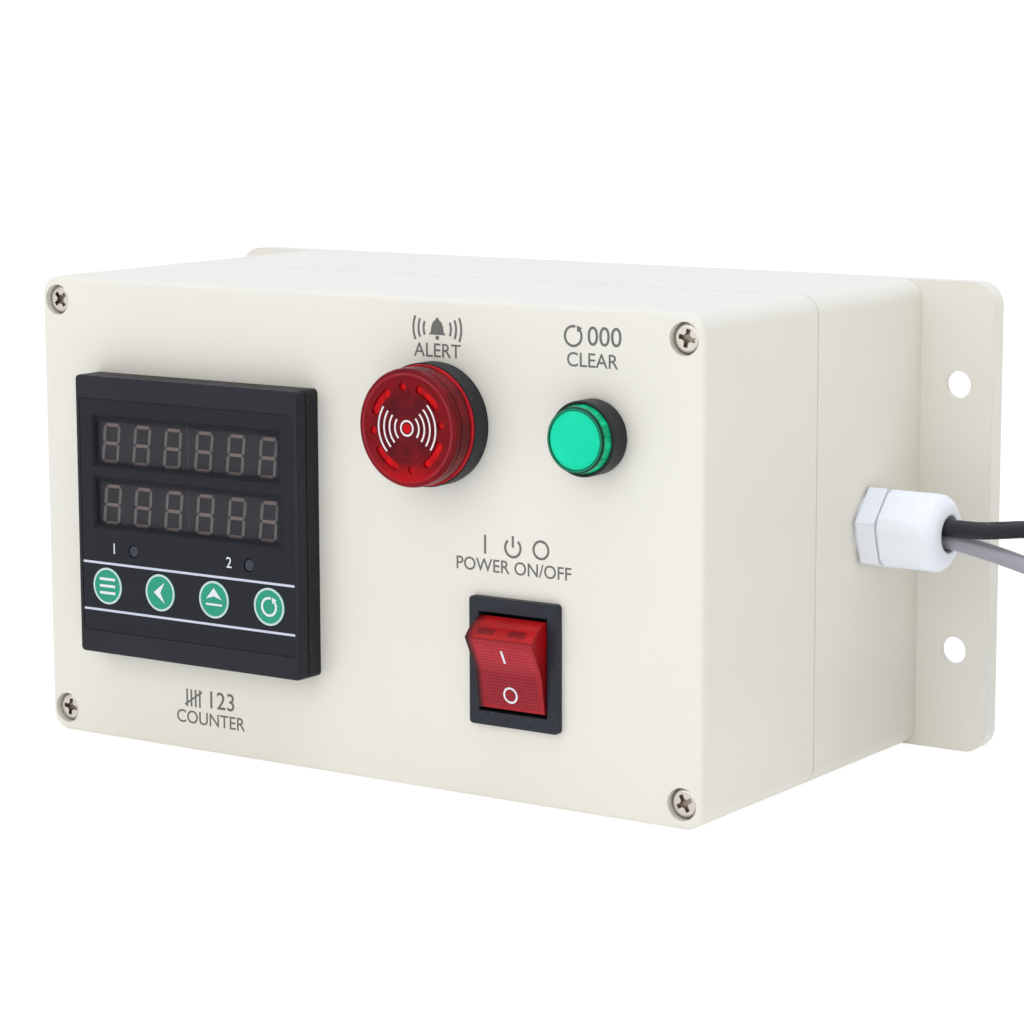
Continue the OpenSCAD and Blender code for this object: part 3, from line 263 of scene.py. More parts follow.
def glow_material(name, dark, bright, size, specular=0.2):
    """Clear coloured plastic, cloudy at the given size. On the buzzer lens's foot and in its openings, its
    brightness is painted light that comes through the lens.
    """
    t = Tree(name)
    t.colour(t.mix(t.patches(size), dark, bright))
    t.relief(t.noise(0.5, 2.0), 0.1, 0.01, 0.2)
    return t.done(0.3, specular)


# Materials of single pieces

def pane_material():
    """Smoked pane: dark, dull and partly see-through, darker towards its printed edge."""
    half_width, half_height = 31.0, 7.1
    edge_alpha, clear_alpha = 0.97, 0.24
    t = Tree("smoked_pane")
    x, _, z = t.axes()
    level = t.math("MINIMUM", t.away(z, WINDOW_Z[0]), t.away(z, WINDOW_Z[1]))
    inside = t.math("MINIMUM", t.math("SUBTRACT", half_width, t.away(x, COUNTER[0])),
                    t.math("SUBTRACT", half_height, level))
    t.colour(t.mix(t.patches(14), srgb(23, 25, 33), srgb(25, 27, 35)))
    t.link(t.span(inside, edge_alpha, clear_alpha, 0.2, 2.2), t.shader.inputs["Alpha"])
    return t.done(0.4, 0.2)


def lens_material():
    """Red translucent plastic: its front in zones from the middle outwards, with a painted highlight ring
    near the rim, painted shade at its outer edge, and painted light that makes it brighter at the bottom.
    """
    lens_r, rim_start, rim_end = 15, 12.6, 13.2
    bright_below, dim_above = BUZZER[1] - 13.5, BUZZER[1] - 8
    t = Tree("lens_red")
    out = t.radius(BUZZER)
    # Zones: the light one at 0.86 is a painted highlight ring, the dark last one painted shade at the
    # edge.
    zones = t.ramp(t.times(out, 1 / lens_r), (
        (0.0, srgb(104, 14, 26)), (0.4, srgb(82, 10, 21)), (0.52, srgb(92, 9, 18)),
        (0.7, srgb(118, 8, 17)), (0.83, srgb(112, 7, 15)), (0.86, srgb(160, 52, 60)),
        (0.89, srgb(96, 12, 19)), (0.93, srgb(104, 16, 23)), (0.97, srgb(66, 12, 18))))
    # Painted light: brighter towards the bottom, fading out at the rim.
    low = t.fade(t.axes()[2], bright_below, dim_above, 0.9, 0)
    low = t.times(low, t.span(out, 1, 0.15, rim_start, rim_end))
    cloud = t.span(t.noise(5, 3.0, 0.6), 0, 0.75, 0.42, 0.68)
    t.colour(t.mix(low, t.mix(cloud, zones, srgb(134, 14, 26)), srgb(190, 6, 14)))
    t.relief(t.noise(2.2, 2.0), 0.12, 0.05, 0.3)
    return t.done(0.22, 0.1)


def cap_side_material():
    """Clear green side of the reset cap: streaks along its axis, in relief and painted as sheen and shade,
    and a painted dark band of shade where it turns into the rim.
    """
    dark_y, light_y = FACE_Y - 8.3, FACE_Y - 7.9
    t = Tree("cap_green_side")
    streaks = t.span(t.noise(1.5, 3.0, 0.6, t.drawn_out(0.12)), 0, 1, 0.35, 0.68)
    # The streaks' light and dark are painted sheen and shade.
    body = t.mix(streaks, srgb(6, 132, 88), srgb(20, 212, 146))
    # Painted shade: dark towards the front, where the side turns into the rim.
    t.colour(t.mix(t.fade(t.axes()[1], dark_y, light_y), body, srgb(8, 66, 50)))
    t.relief(streaks, 0.12, 0.03, 0.2)
    return t.done(0.25, 0.12)


def cap_rim_material():
    """Rim of the reset cap: a green line between two dark ones, which are painted shade at its edges."""
    inner_r, outer_r = 6.7, 7.7
    t = Tree("cap_green_rim")
    t.colour(t.ramp(t.span(t.radius(RESET), 0, 1, inner_r, outer_r), (
        (0.0, srgb(4, 40, 30)), (0.3, srgb(5, 48, 36)), (0.5, srgb(22, 150, 106)),
        (0.72, srgb(14, 100, 72)), (0.86, srgb(4, 40, 30)))))
    t.relief(t.noise(0.5, 2.0), 0.1, 0.01, 0.1)
    return t.done(0.25, 0.15)


def rocker_material():
    """Red rocker plastic: fine dots under the two front faces, plain margins round them, and painted shade
    towards the lower end and along the left margin.
    """
    dot_pitch, blur = 0.8, 0.4
    left, right = SWITCH[0] - 7.7, SWITCH[0] + 8.6
    low, high = SWITCH[1] - 10.2, SWITCH[1] + 5.6
    t = Tree("rocker_dotted")
    x, _, z = t.axes()
    flat = t.add("ShaderNodeCombineXYZ")
    t.link(x, flat.inputs[0])
    t.link(z, flat.inputs[1])
    dots = t.add("ShaderNodeTexVoronoi", voronoi_dimensions="2D", Scale=1 / (dot_pitch * MM),
                 Randomness=0.08)
    t.link(flat.outputs[0], dots.inputs["Vector"])
    spot = t.span(dots.outputs["Distance"], 1.0, 0.0, 0.2, 0.42)
    across = t.times(t.fade(x, left, left + blur, 0, 1), t.fade(x, right - blur, right))
    upward = t.times(t.fade(z, low, low + blur, 0, 1), t.fade(z, high - blur, high))
    inside = t.times(across, upward)
    upper = t.mix(t.patches(6), srgb(178, 30, 42), srgb(194, 40, 54))
    # Painted shade: the faces darken a little towards the lower end.
    bright = t.mix(t.fade(z, SWITCH[1] - 3.0, SWITCH[1] + 2.0), upper, srgb(158, 30, 42))
    field = t.mix(t.times(spot, 0.85), bright, srgb(92, 14, 24))
    # Painted shade: the margin turns near black towards the left edge.
    margin = t.mix(t.fade(x, left - 1.2, left + 0.3), srgb(160, 24, 34), srgb(52, 12, 16))
    t.colour(t.mix(inside, margin, field))
    t.relief(t.times(spot, inside), 0.12, 0.03, 0.3)
    return t.done(0.3, 0.2)


def rocker_shelf_material():
    """Red end of the rocker: painted shade in two dim patches, where the parts behind it show through, and
    along its front and left.
    """
    patch_y = FACE_Y - 6.7
    t = Tree("rocker_shelf")
    x, y, _ = t.axes()
    aside = t.away(x, SWITCH[0])
    # Painted shade: two dim patches where the parts behind show through.
    patch = t.times(t.span(aside, 0, 1, 1.5, 2.2), t.span(aside, 1, 0, 6.6, 7.3))
    patch = t.times(patch, t.span(t.away(y, patch_y), 0.75, 0, 0.5, 1.0))
    cloud = t.patches(5)
    body = t.mix(patch, t.mix(cloud, srgb(164, 20, 22), srgb(190, 26, 28)), srgb(92, 12, 16))
    # Painted shade along the front edge and towards the left.
    front = t.mix(t.fade(y, FACE_Y - 8.25, FACE_Y - 8.0), body, srgb(112, 16, 20))
    left = t.fade(x, SWITCH[0] - 9.3, SWITCH[0] - 6.6, 0.95, 0.0)
    t.colour(t.mix(left, front, srgb(48, 10, 14)))
    t.relief(cloud, 0.1, 0.02, 0.2)
    return t.done(0.28, 0.25)


def rocker_side_material():
    """Red sides of the rocker, with painted light that makes them brighter towards the raised end."""
    t = Tree("rocker_side")
    # Painted light: brighter towards the raised end.
    up = t.fade(t.axes()[2], SWITCH[1] - 6.0, SWITCH[1] + 7.0, 0, 1)
    cloud = t.span(t.noise(5, 2.0), 0, 0.4)
    t.colour(t.mix(cloud, t.mix(up, srgb(108, 14, 20), srgb(164, 14, 18)), srgb(104, 12, 18)))
    t.relief(cloud, 0.1, 0.02, 0.2)
    return t.done(0.3, 0.2)


def gland_cap_material():
    """White nylon of the gland's cap, with fine rings round it."""
    ring_pitch = 1.0
    t = Tree("gland_cap_white")
    rings = t.math("SINE", t.times(t.axes()[0], 2 * math.pi / (ring_pitch * MM)))
    worn = t.span(t.noise(3), 0.2, 1.0)
    t.colour(t.mix(t.patches(20), srgb(235, 237, 241), srgb(239, 241, 245)))
    t.relief(t.times(rings, worn), 0.5, 0.06, 0.8)
    return t.done(0.45, 0.4)


IVORY = moulded("ivory_plastic", srgb(229, 225, 213), 0.45, grain=0.7, depth=0.01, tint=0.008, edge=0.2,
                Specular_IOR_Level=0.35)
BEZEL_BLACK = black("bezel_black", srgb(34, 35, 41), 0.5, speck_colour=None, grain=0.35, depth=0.03, edge=0.25)
CASE_BLACK = black("case_black", srgb(30, 31, 34), 0.5, grain=0.4, depth=0.03)
DEVICE_BLACK = black("device_black", srgb(35, 37, 40), 0.45, grain=0.4, depth=0.02, edge=0.3)
SWITCH_BLACK = black("switch_black", srgb(42, 44, 52), 0.45, grain=0.4, depth=0.02, edge=0.3)
FILM = black("overlay_film", srgb(24, 26, 34), 0.4, speck_colour=None, grain=0.25, depth=0.008, edge=0.05)
SEAL = black("seal_rubber", srgb(32, 32, 34), 0.7, grain=0.5, depth=0.02)
NICKEL = metal("screw_nickel", srgb(208, 202, 193), 0.3)
# Painted shade: the lid screws' cross recesses, darker than their heads.
NICKEL_SHADED = metal("screw_cross_shade", srgb(150, 138, 128), 0.35)
BRASS = metal("brass", srgb(212, 178, 98), 0.3)
STEEL = metal("spring_steel", srgb(180, 180, 182), 0.3)
BOARD = moulded("board_green", srgb(34, 96, 54), 0.4, grain=1.2, depth=0.01)
CORE = metal("core_steel", srgb(120, 116, 108), 0.55)
BLUE = moulded("component_blue", srgb(45, 75, 125), 0.35)
DISPLAY = moulded("display_grey", srgb(94, 92, 94), 0.6, grain=0.3, depth=0.01, edge=0.08,
                  Specular_IOR_Level=0.1)
SEGMENT_UP = moulded("segment_grey", srgb(162, 159, 155), 0.5, grain=0.2, depth=0.004, edge=0.03)
SEGMENT_FLAT = moulded("segment_rose", srgb(186, 165, 158), 0.5, grain=0.2, depth=0.004, edge=0.03)
SEGMENT_POINT = moulded("segment_point", srgb(114, 110, 108), 0.5, grain=0.2, depth=0.004, edge=0.03)
LAMP = moulded("lamp_dark", srgb(57, 60, 71), 0.35, grain=0.4, depth=0.004, edge=0.1,
               Specular_IOR_Level=0.2)
KEY_GREEN = moulded("key_green", srgb(46, 150, 121), 0.4, grain=0.25, depth=0.006, edge=0.1,
                    Specular_IOR_Level=0.15)
STEM_WHITE = moulded("stem_white", srgb(228, 226, 218), 0.45)
CONTACT_GREY = moulded("contact_grey", srgb(170, 180, 186), 0.45)
GLAND_WHITE = moulded("gland_white", srgb(233, 235, 240), 0.45, grain=0.6, depth=0.012, tint=0.008,
                      edge=0.8)
CORD_BLACK = black("cord_black", srgb(38, 39, 42), 0.4, grain=0.5, depth=0.03)
CORD_GREY = moulded("cord_grey", srgb(155, 154, 162), 0.35, grain=0.5, depth=0.03,
                    Specular_IOR_Level=0.5)
TIE = black("tie_black", srgb(34, 34, 36), 0.45)
GREY_INK = ink("grey_ink", srgb(112, 110, 106))
WHITE_INK = ink("white_ink", srgb(226, 228, 232))
PALE_GREY_INK = ink("pale_grey_ink", srgb(150, 150, 152))
STRIPE_INK = ink("stripe_ink", srgb(202, 206, 219))
PALE_GREEN_INK = ink("pale_green_ink", srgb(196, 214, 210))
WAVE_INK = ink("wave_ink", srgb(240, 222, 222))
WAVE_EDGE = ink("wave_edge", srgb(74, 14, 22))
PANE = pane_material()
LENS = lens_material()
# Painted light: the lens's foot ring and the red in its openings, bright as light through the lens.
LENS_FOOT = glow_material("lens_red_foot", srgb(168, 16, 28), srgb(206, 24, 36), 5)
SLOT_RED = glow_material("slot_red", srgb(164, 5, 11), srgb(222, 12, 20), 1.6, 0.1)
CAP_FACE = glow_material("cap_green_face", srgb(20, 209, 162), srgb(30, 217, 170), 8, 0.08)
CAP_RIM = cap_rim_material()
CAP_SIDE = cap_side_material()
ROCKER = rocker_material()
ROCKER_SHELF = rocker_shelf_material()
ROCKER_SIDE = rocker_side_material()
GLAND_CAP = gland_cap_material()

LOOKS = {
    IVORY: ("enclosure_base", "enclosure_lid"),
    SEAL: ("lid_seal", "buzzer_seal", "reset_seal", "gland_seal"),
    NICKEL: ("lid_screws", "terminal_screws", "clamp_screws", "switch_terminals", "signal_connector"),
    BRASS: ("screw_inserts", "buzzer_terminals", "reset_terminals", "buzzer_sounder"),
    BEZEL_BLACK: ("counter_bezel",),
    CASE_BLACK: ("counter_case", "rear_cover", "terminal_blocks", "panel_clamps"),
    FILM: ("counter_overlay",),
    PANE: ("display_panes",),
    DISPLAY: ("upper_display_left", "upper_display_right", "lower_display_left", "lower_display_right"),
    SEGMENT_UP: ("display_segments",),
    LAMP: ("alarm_lamps",),
    KEY_GREEN: ("key_menu", "key_left", "key_up", "key_zero"),
    TIE: ("key_switches", "coil_tie"),
    BOARD: ("display_board", "main_board", "buzzer_lamp_board"),
    CORE: ("transformer",),
    BLUE: ("capacitor", "alarm_relays"),
    LENS: ("buzzer_lens",),
    DEVICE_BLACK: ("buzzer_body", "buzzer_nut", "reset_body", "reset_nut"),
    SWITCH_BLACK: ("switch_housing",),
    CAP_SIDE: ("reset_cap",),
    STEM_WHITE: ("reset_stem",),
    STEEL: ("reset_spring",),
    CONTACT_GREY: ("reset_contact_block",),
    ROCKER_SIDE: ("switch_rocker",),
    GLAND_WHITE: ("gland_body", "gland_nut", "gland_washer"),
    GLAND_CAP: ("gland_cap",),
    CORD_BLACK: ("power_cord", "power_coil", "power_plug"),
    CORD_GREY: ("signal_cord", "signal_coil"),
}
for look, names in LOOKS.items():
    for name in names:
        nodes[name].data.materials.clear()
        nodes[name].data.materials.append(look)


# Second materials on some faces of a piece

def repaint(node, look, chosen):
    """Gives another material to a node's faces that chosen(centre, normal) picks."""
    mesh = nodes[node].data
    mesh.materials.append(look)
    for face in mesh.polygons:
        if chosen(face.center / MM, face.normal):
            face.material_index = len(mesh.materials) - 1


def reach(c, centre):
    """Distance of a place from an axis along Y."""
    return math.hypot(c.x - centre[0], c.z - centre[1])


def across_digit(c):
    """How far a place on the displays lies to the side of its digit's leaning middle line."""
    level = min(WINDOW_Z, key=lambda z: abs(z - c.z)) - DIGIT_DROP
    from_first = c.x - FIRST_DIGIT_X
    aside = from_first - DIGIT_PITCH * round(from_first / DIGIT_PITCH)
    return abs(aside - math.tan(DIGIT_LEAN) * (c.z - level))


CAP_RIM_Y = FACE_Y - 8.55
CAP_RIM_R, CAP_FACE_R = 6.85, 6.9
PINS_Y = -84.01
LENS_FOOT_Y = FACE_Y - 6.55
FLAT_SEGMENT_REACH, POINT_START = 2.0, 2.9
SHELF_Z = SWITCH[1] + 6.7
CROSS_FRONT_Y, CROSS_BACK_Y = FACE_Y + 1.25, FACE_Y + 2.6
CROSS_R = 2.4
repaint("reset_cap", CAP_RIM, lambda c, n: c.y < CAP_RIM_Y and reach(c, RESET) > CAP_RIM_R)
repaint("reset_cap", CAP_FACE, lambda c, n: (
    n.y < -0.99 and reach(c, RESET) < CAP_FACE_R and c.y > CAP_FACE_Y - 0.05))
repaint("power_plug", BRASS, lambda c, n: c.y < PINS_Y)
# Painted light: a bright ring at the lens's foot.
repaint("buzzer_lens", LENS_FOOT, lambda c, n: c.y > LENS_FOOT_Y)
repaint("display_segments", SEGMENT_FLAT, lambda c, n: across_digit(c) < FLAT_SEGMENT_REACH)
repaint("display_segments", SEGMENT_POINT, lambda c, n: across_digit(c) > POINT_START)
repaint("switch_rocker", ROCKER, lambda c, n: n.y < -0.6 and c.z < SHELF_Z)
repaint("switch_rocker", ROCKER_SHELF, lambda c, n: n.z > 0.3 and abs(n.x) < 0.5 and c.z > SHELF_Z)
# Painted shade in the lid screws' cross recesses.
repaint("lid_screws", NICKEL_SHADED, lambda c, n: (
    CROSS_FRONT_Y < c.y < CROSS_BACK_Y and min(reach(c, s) for s in SCREWS) < CROSS_R))

# The reset button's spring, as a copy with a mesh of its own on the box; the real spring shortens as the
# button is pressed
spring = add_object("reset_spring_coil", nodes["reset_spring"].data.copy())
spring.matrix_world = nodes["reset_spring"].matrix_world
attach(spring, "box")
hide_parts("reset_spring")
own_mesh(spring)


# Printed signs, drawn flat as outlines and laid on a surface

PRINT = 0.03
CAPITAL_SHARE = 0.69


def disc(cx, cy, r, count=48):
    turns = [2 * math.pi * i / count for i in range(count)]
    return [(cx + r * math.cos(a), cy + r * math.sin(a)) for a in turns]


def ring(cx, cy, r, width):
    return [disc(cx, cy, r + width / 2), disc(cx, cy, r - width / 2)]


def arc(cx, cy, r, width, start, end, round_ends=False):
    """A band bent about a centre, from one angle to another in degrees."""
    count = 28
    turn = [math.radians(start + (end - start) * i / count) for i in range(count + 1)]

    def line(radius, angles):
        return [(cx + radius * math.cos(a), cy + radius * math.sin(a)) for a in angles]

    def cap(a, first):
        x, y = cx + r * math.cos(a), cy + r * math.sin(a)
        return [(x + width / 2 * math.cos(a + first + b), y + width / 2 * math.sin(a + first + b))
                for b in (0.5, 1.0, 1.57, 2.14, 2.64)]

    outer = line(r + width / 2, turn)
    inner = line(r - width / 2, reversed(turn))
    if not round_ends:
        return outer + inner
    return outer + cap(turn[-1], 0) + inner + cap(turn[0], math.pi)


def bar(x0, y0, x1, y1):
    return [(x0, y0), (x1, y0), (x1, y1), (x0, y1)]


def moved(loops, dx):
    return [[(x + dx, y) for x, y in loop] for loop in loops]


def on_panel(x, y, z):
    """A place on a face that looks along -Y: drawn right is +X, drawn up is +Z."""
    return Matrix(((1, 0, 0, x * MM), (0, 0, -1, y * MM), (0, 1, 0, z * MM), (0, 0, 0, 1)))


def on_counter(u, v, y=OVERLAY_Y):
    return on_panel(COUNTER[0] + u, y, COUNTER[1] + v)


def as_mesh(name, curve, place, look, body):
    """Turns a flat curve, drawn in metres, into a thin mesh piece that rides on a body."""
    drawn = add_object(name + "_drawn", curve)
    graph = bpy.context.evaluated_depsgraph_get()
    mesh = bpy.data.meshes.new_from_object(drawn.evaluated_get(graph))
    bpy.data.objects.remove(drawn)
    bpy.data.curves.remove(curve)
    mesh.name = name
    mesh.transform(place)
    mesh.materials.clear()
    mesh.materials.append(look)
    piece = add_object(name, mesh)
    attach(piece, body)


def sign(name, loops, place, look, body="box", thick=PRINT):
    """A printed sign from closed outlines; an outline inside another is a hole."""
    curve = bpy.data.curves.new(name, "CURVE")
    curve.dimensions = "2D"
    curve.fill_mode = "BOTH"
    curve.extrude = thick * MM
    for loop in loops:
        spline = curve.splines.new("POLY")
        spline.points.add(len(loop) - 1)
        spline.use_cyclic_u = True
        for point, (x, y) in zip(spline.points, loop):
            point.co = (x * MM, y * MM, 0, 1)
    as_mesh(name, curve, place, look, body)


def word(name, text, height, place, look, heavy=0.0):
    """A short generic word or number, its letters as high as given, and bolder by heavy."""
    curve = bpy.data.curves.new(name, "FONT")
    curve.body = text
    curve.align_x = "CENTER"
    curve.align_y = "CENTER"
    curve.size = height / CAPITAL_SHARE * MM
    curve.extrude = PRINT * MM
    curve.offset = heavy * MM
    as_mesh(name, curve, place, look, "box")


def lid_label(name, text, x, word_z, icon_z, icon, digits="", digits_x=0.0, height=3.3):
    """A row of icons, with a number beside them where one is given, over a generic word."""
    heavy, digits_height = 0.03, 4.4
    sign(name + "_icon", icon, on_panel(x, FACE_Y, icon_z), GREY_INK)
    word(name + "_word", text, height, on_panel(x, FACE_Y, word_z), GREY_INK, heavy=heavy)
    if digits:
        word(name + "_digits", digits, digits_height, on_panel(x + digits_x, FACE_Y, icon_z), GREY_INK,
             heavy=heavy)


def circular_arrow(r, width):
    """An open ring with an arrowhead at its end."""
    tail_at, head_at = 75, 38
    half_base, length = 1.9 * width * 0.75, 1.9 * width * 1.2
    head = math.radians(head_at)
    out_x, out_y = math.cos(head), math.sin(head)
    return [arc(0, 0, r, width, tail_at, head_at + 360),
            [(out_x * (r + half_base), out_y * (r + half_base)),
             (out_x * r - out_y * length, out_y * r + out_x * length),
             (out_x * (r - half_base), out_y * (r - half_base))]]


# Signs on the lid
BELL = [[(-2.5, -1.5), (-1.9, -0.8), (-1.7, 0.6), (-1.2, 1.6), (-0.5, 2.1), (-0.35, 2.6),
         (0.35, 2.6), (0.5, 2.1), (1.2, 1.6), (1.7, 0.6), (1.9, -0.8), (2.5, -1.5)],
        disc(0, -2.2, 0.55, 20)]
RINGING = BELL + [arc(0, 0, r, 0.6, side - 24, side + 24) for r in (4.0, 5.5, 7.0) for side in (0, 180)]
POWER = [arc(0, -0.2, 2.2, 0.62, -230, 50), bar(-0.31, -0.1, 0.31, 2.7)]
ON_POWER_OFF = POWER + [bar(-8.3, -2.3, -7.7, 2.3)] + ring(8, 0, 2.1, 0.6)
TALLY = [bar(x - 0.28, -2.3, x + 0.28, 2.3) for x in (-2.4, -1.0, 0.4, 1.8)]
TALLY_STROKE = [[(-3.3, -1.7), (-3.0, -2.1), (2.7, 1.7), (2.4, 2.1)]]
BESIDE_DIGITS = -5.2
TALLY_Z = -46.5
lid_label("buzzer_label", "ALERT", BUZZER[0], 47.5, 52.9, RINGING)
lid_label("reset_label", "CLEAR", 70.2, 47.6, 53.2, moved(circular_arrow(2.3, 0.62), BESIDE_DIGITS),
          "000", 3.4)
lid_label("switch_label", "POWER ON/OFF", 47.9, -3.2, 2.0, ON_POWER_OFF, height=3.1)
lid_label("counter_label", "COUNTER", COUNTER[0], -51.7, TALLY_Z, moved(TALLY, BESIDE_DIGITS), "123", 3.6)
sign("counter_label_stroke", moved(TALLY_STROKE, BESIDE_DIGITS),
     on_panel(COUNTER[0], FACE_Y - 0.01, TALLY_Z), GREY_INK)

# Prints on the counter's film, its digit modules and its keys
THIN_PRINT = 0.01
STRIPE = [bar(-34.5, -0.3, 34.5, 0.3)]
DISPLAY_JOINT = [bar(-0.06, -6.3, 0.06, 6.3)]
WINDOW_BORDER = [bar(-31.5, -7.6, 31.5, 7.6), bar(-30.7, -6.8, 30.7, 6.8)]
LAMP_LABEL_V = -8.4
LAMP_LABEL_HEIGHT = 2.7
KEY_SIGNS = {
    "menu": [bar(-2.6, y - 0.34, 2.6, y + 0.34) for y in (-1.8, 0.0, 1.8)],
    "left": [[(-2.1, 0.0), (1.5, 2.7), (0.1, 0.0), (1.5, -2.7)]],
    "up": [[(0.0, 3.0), (2.5, 0.1), (0.0, 0.9), (-2.5, 0.1)], bar(-2.6, -1.5, 2.6, -1.0)],
    "zero": circular_arrow(2.2, 0.6),
}
for v, name in ((-12.3, "upper_stripe"), (-24.6, "lower_stripe")):
    sign(name, STRIPE, on_counter(0, v), STRIPE_INK)
for name, v in WINDOW_V.items():
    sign(name + "_display_joint", DISPLAY_JOINT, on_counter(0, v, DISPLAY_Y), PALE_GREY_INK,
         thick=THIN_PRINT)
    sign(name + "_window_border", WINDOW_BORDER, on_counter(0, v), FILM, thick=THIN_PRINT)
for name, text, u in (("lamp_label_one", "1", -24.0), ("lamp_label_two", "2", 13.8)):
    word(name, text, LAMP_LABEL_HEIGHT, on_counter(u, LAMP_LABEL_V), WHITE_INK)
for key, u in KEY_U.items():
    place = on_counter(u, KEY_V, KEY_Y)
    body = key + "_key"
    sign("key_ring_" + key, ring(0, 0, 4.5, 0.55), place, PALE_GREEN_INK, body)
    sign("key_sign_" + key, KEY_SIGNS[key], place, WHITE_INK, body)

# Sound waves on the buzzer's lens, and painted light: the lit red seen in its openings, as red pieces
# inside them
WAVE_TURN = Matrix.Rotation(math.radians(5), 4, "Z")
WAVE_RADII = (3.5, 5.1, 6.7, 8.3)
OPENINGS_R, SLOT_WIDTH, HOLE_R = 9.9, 1.96, 0.98
OPENINGS_TURN = 7
SLOT_START, SLOT_END = 28, 62


def waves(width):
    bows = [arc(0, 0, r, width, side - 40, side + 40) for r in WAVE_RADII for side in (0, 180)]
    return ring(0, 0, 1.75, width) + bows


def on_lens(sunk):
    return on_panel(BUZZER[0], LENS_Y + sunk, BUZZER[1])


sign("buzzer_wave_edges", waves(0.95), on_lens(0) @ WAVE_TURN, WAVE_EDGE, thick=0.02)
sign("buzzer_waves", waves(0.45), on_lens(-0.02) @ WAVE_TURN, WAVE_INK, thick=0.03)
sign("buzzer_dot", [disc(0, 0, 1.2)], on_lens(0), SLOT_RED, thick=0.02)
# Painted light: bright red pieces in the openings, where light comes through the lens.
for quarter in range(4):
    turn = 90 * quarter + OPENINGS_TURN
    hole = math.radians(turn)
    openings = [arc(0, 0, OPENINGS_R, SLOT_WIDTH, turn + SLOT_START, turn + SLOT_END, round_ends=True),
                disc(OPENINGS_R * math.cos(hole), OPENINGS_R * math.sin(hole), HOLE_R, 24)]
    sign("buzzer_glow_%d" % (quarter + 1), openings, on_lens(0.75), SLOT_RED, thick=0.25)

# Marks on the rocker's two faces, which lean with it at rest
PIVOT = Vector((SWITCH[0], FACE_Y + 1.0, SWITCH[1])) * MM
TILT = math.radians(18)
HOLLOW, CORNER_UP, CORNER_OUT = 5.2, 9.304, 6.76


def on_rocker(u, along):
    """A place on the rocker's face: along is the way up from its hollow."""
    lean = math.atan2(CORNER_OUT - HOLLOW, CORNER_UP) * (1 if along > 0 else -1)
    out = HOLLOW + abs(along) * math.tan(abs(lean))
    local = on_panel(u, -out, along) @ Matrix.Rotation(lean, 4, "X")
    return Matrix.Translation(PIVOT) @ Matrix.Rotation(TILT, 4, "X") @ local


ON_MARK = [bar(-0.3, -1.85, 0.3, 1.85)]
OFF_MARK = ring(0, 0, 1.8, 0.5)
sign("rocker_on_mark", ON_MARK, on_rocker(0.0, 4.6), WHITE_INK, "rocker")
sign("rocker_off_mark", OFF_MARK, on_rocker(0.1, -5.6), WHITE_INK, "rocker")


# Cords: the same routes as in the solids, with the spare length wound into coils

CORD_D = 4.3
LEAN = math.radians(36)
CORD_SIDE = (0.0, -2.3 * math.sin(LEAN), 2.3 * math.cos(LEAN))
COIL = (194.25, -33.0)
COIL_PITCH = 4.45
COIL_OUTER = 28.45
LAYERS = 4
LAYER_TURNS = 2.0
DROP_TURNS = 1 / 3
TURN_STEPS = 28
COIL_HEIGHT = (LAYERS - 1) * COIL_PITCH
POWER_COIL_TOP = 0.9 + CORD_D / 2 + COIL_HEIGHT
SIGNAL_COIL_TOP = POWER_COIL_TOP + COIL_HEIGHT + CORD_D
END_Y = -1.0
END_SINK = 3.0
SPAN_STEPS = 6


def lead(points):
    """Places given from the gland."""
    return [tuple(a + b for a, b in zip(GLAND, p)) for p in points]


def tail(points):
    """Places given from the coil's middle on the floor."""
    return [(COIL[0] + p[0], COIL[1] + p[1], FLOOR_Z + p[2]) for p in points]


def wound(top_level):
    """Layers of turns from the top down, wound by turns inwards and outwards, clockwise from above."""
    points = []

    def add(turn, r, level):
        angle = math.radians(90) - 2 * math.pi * turn
        points.append((COIL[0] + r * math.cos(angle), COIL[1] + r * math.sin(angle), FLOOR_Z + level))

    start = 0.0
    for layer in range(LAYERS):
        inwards = layer % 2 == 0
        level = top_level - layer * COIL_PITCH
        for i in range(int(LAYER_TURNS * TURN_STEPS) + 1):
            k = i / TURN_STEPS
            add(start + k, COIL_OUTER - COIL_PITCH * (k if inwards else LAYER_TURNS - k), level)
        start += LAYER_TURNS
        if layer < LAYERS - 1:
            r = COIL_OUTER - (LAYER_TURNS * COIL_PITCH if inwards else 0)
            count = int(DROP_TURNS * TURN_STEPS)
            for i in range(1, count):
                k = i / count
                add(start + DROP_TURNS * k, r, level - COIL_PITCH * (3 * k * k - 2 * k ** 3))
            start += DROP_TURNS
    return points


def smooth(points):
    """A smooth line through points."""
    found = []
    p = [Vector(q) for q in points]
    for i in range(len(p) - 1):
        before = p[i - 1] if i else 2 * p[0] - p[1]
        after = p[i + 2] if i + 2 < len(p) else 2 * p[-1] - p[-2]
        for k in range(SPAN_STEPS):
            t = k / SPAN_STEPS
            found.append(0.5 * (2 * p[i] + (p[i + 1] - before) * t
                                + (2 * before - 5 * p[i] + 4 * p[i + 1] - after) * t * t
                                + (3 * p[i] - before - 3 * p[i + 1] + after) * t ** 3))
    return found + [p[-1]]


def cord_line(first, coil, last):
    """The whole centreline: the lead, the wound turns and the tail, on one smooth line."""
    return smooth(first + coil[:2])[:-1] + coil[1:-2] + smooth(coil[-2:] + last)


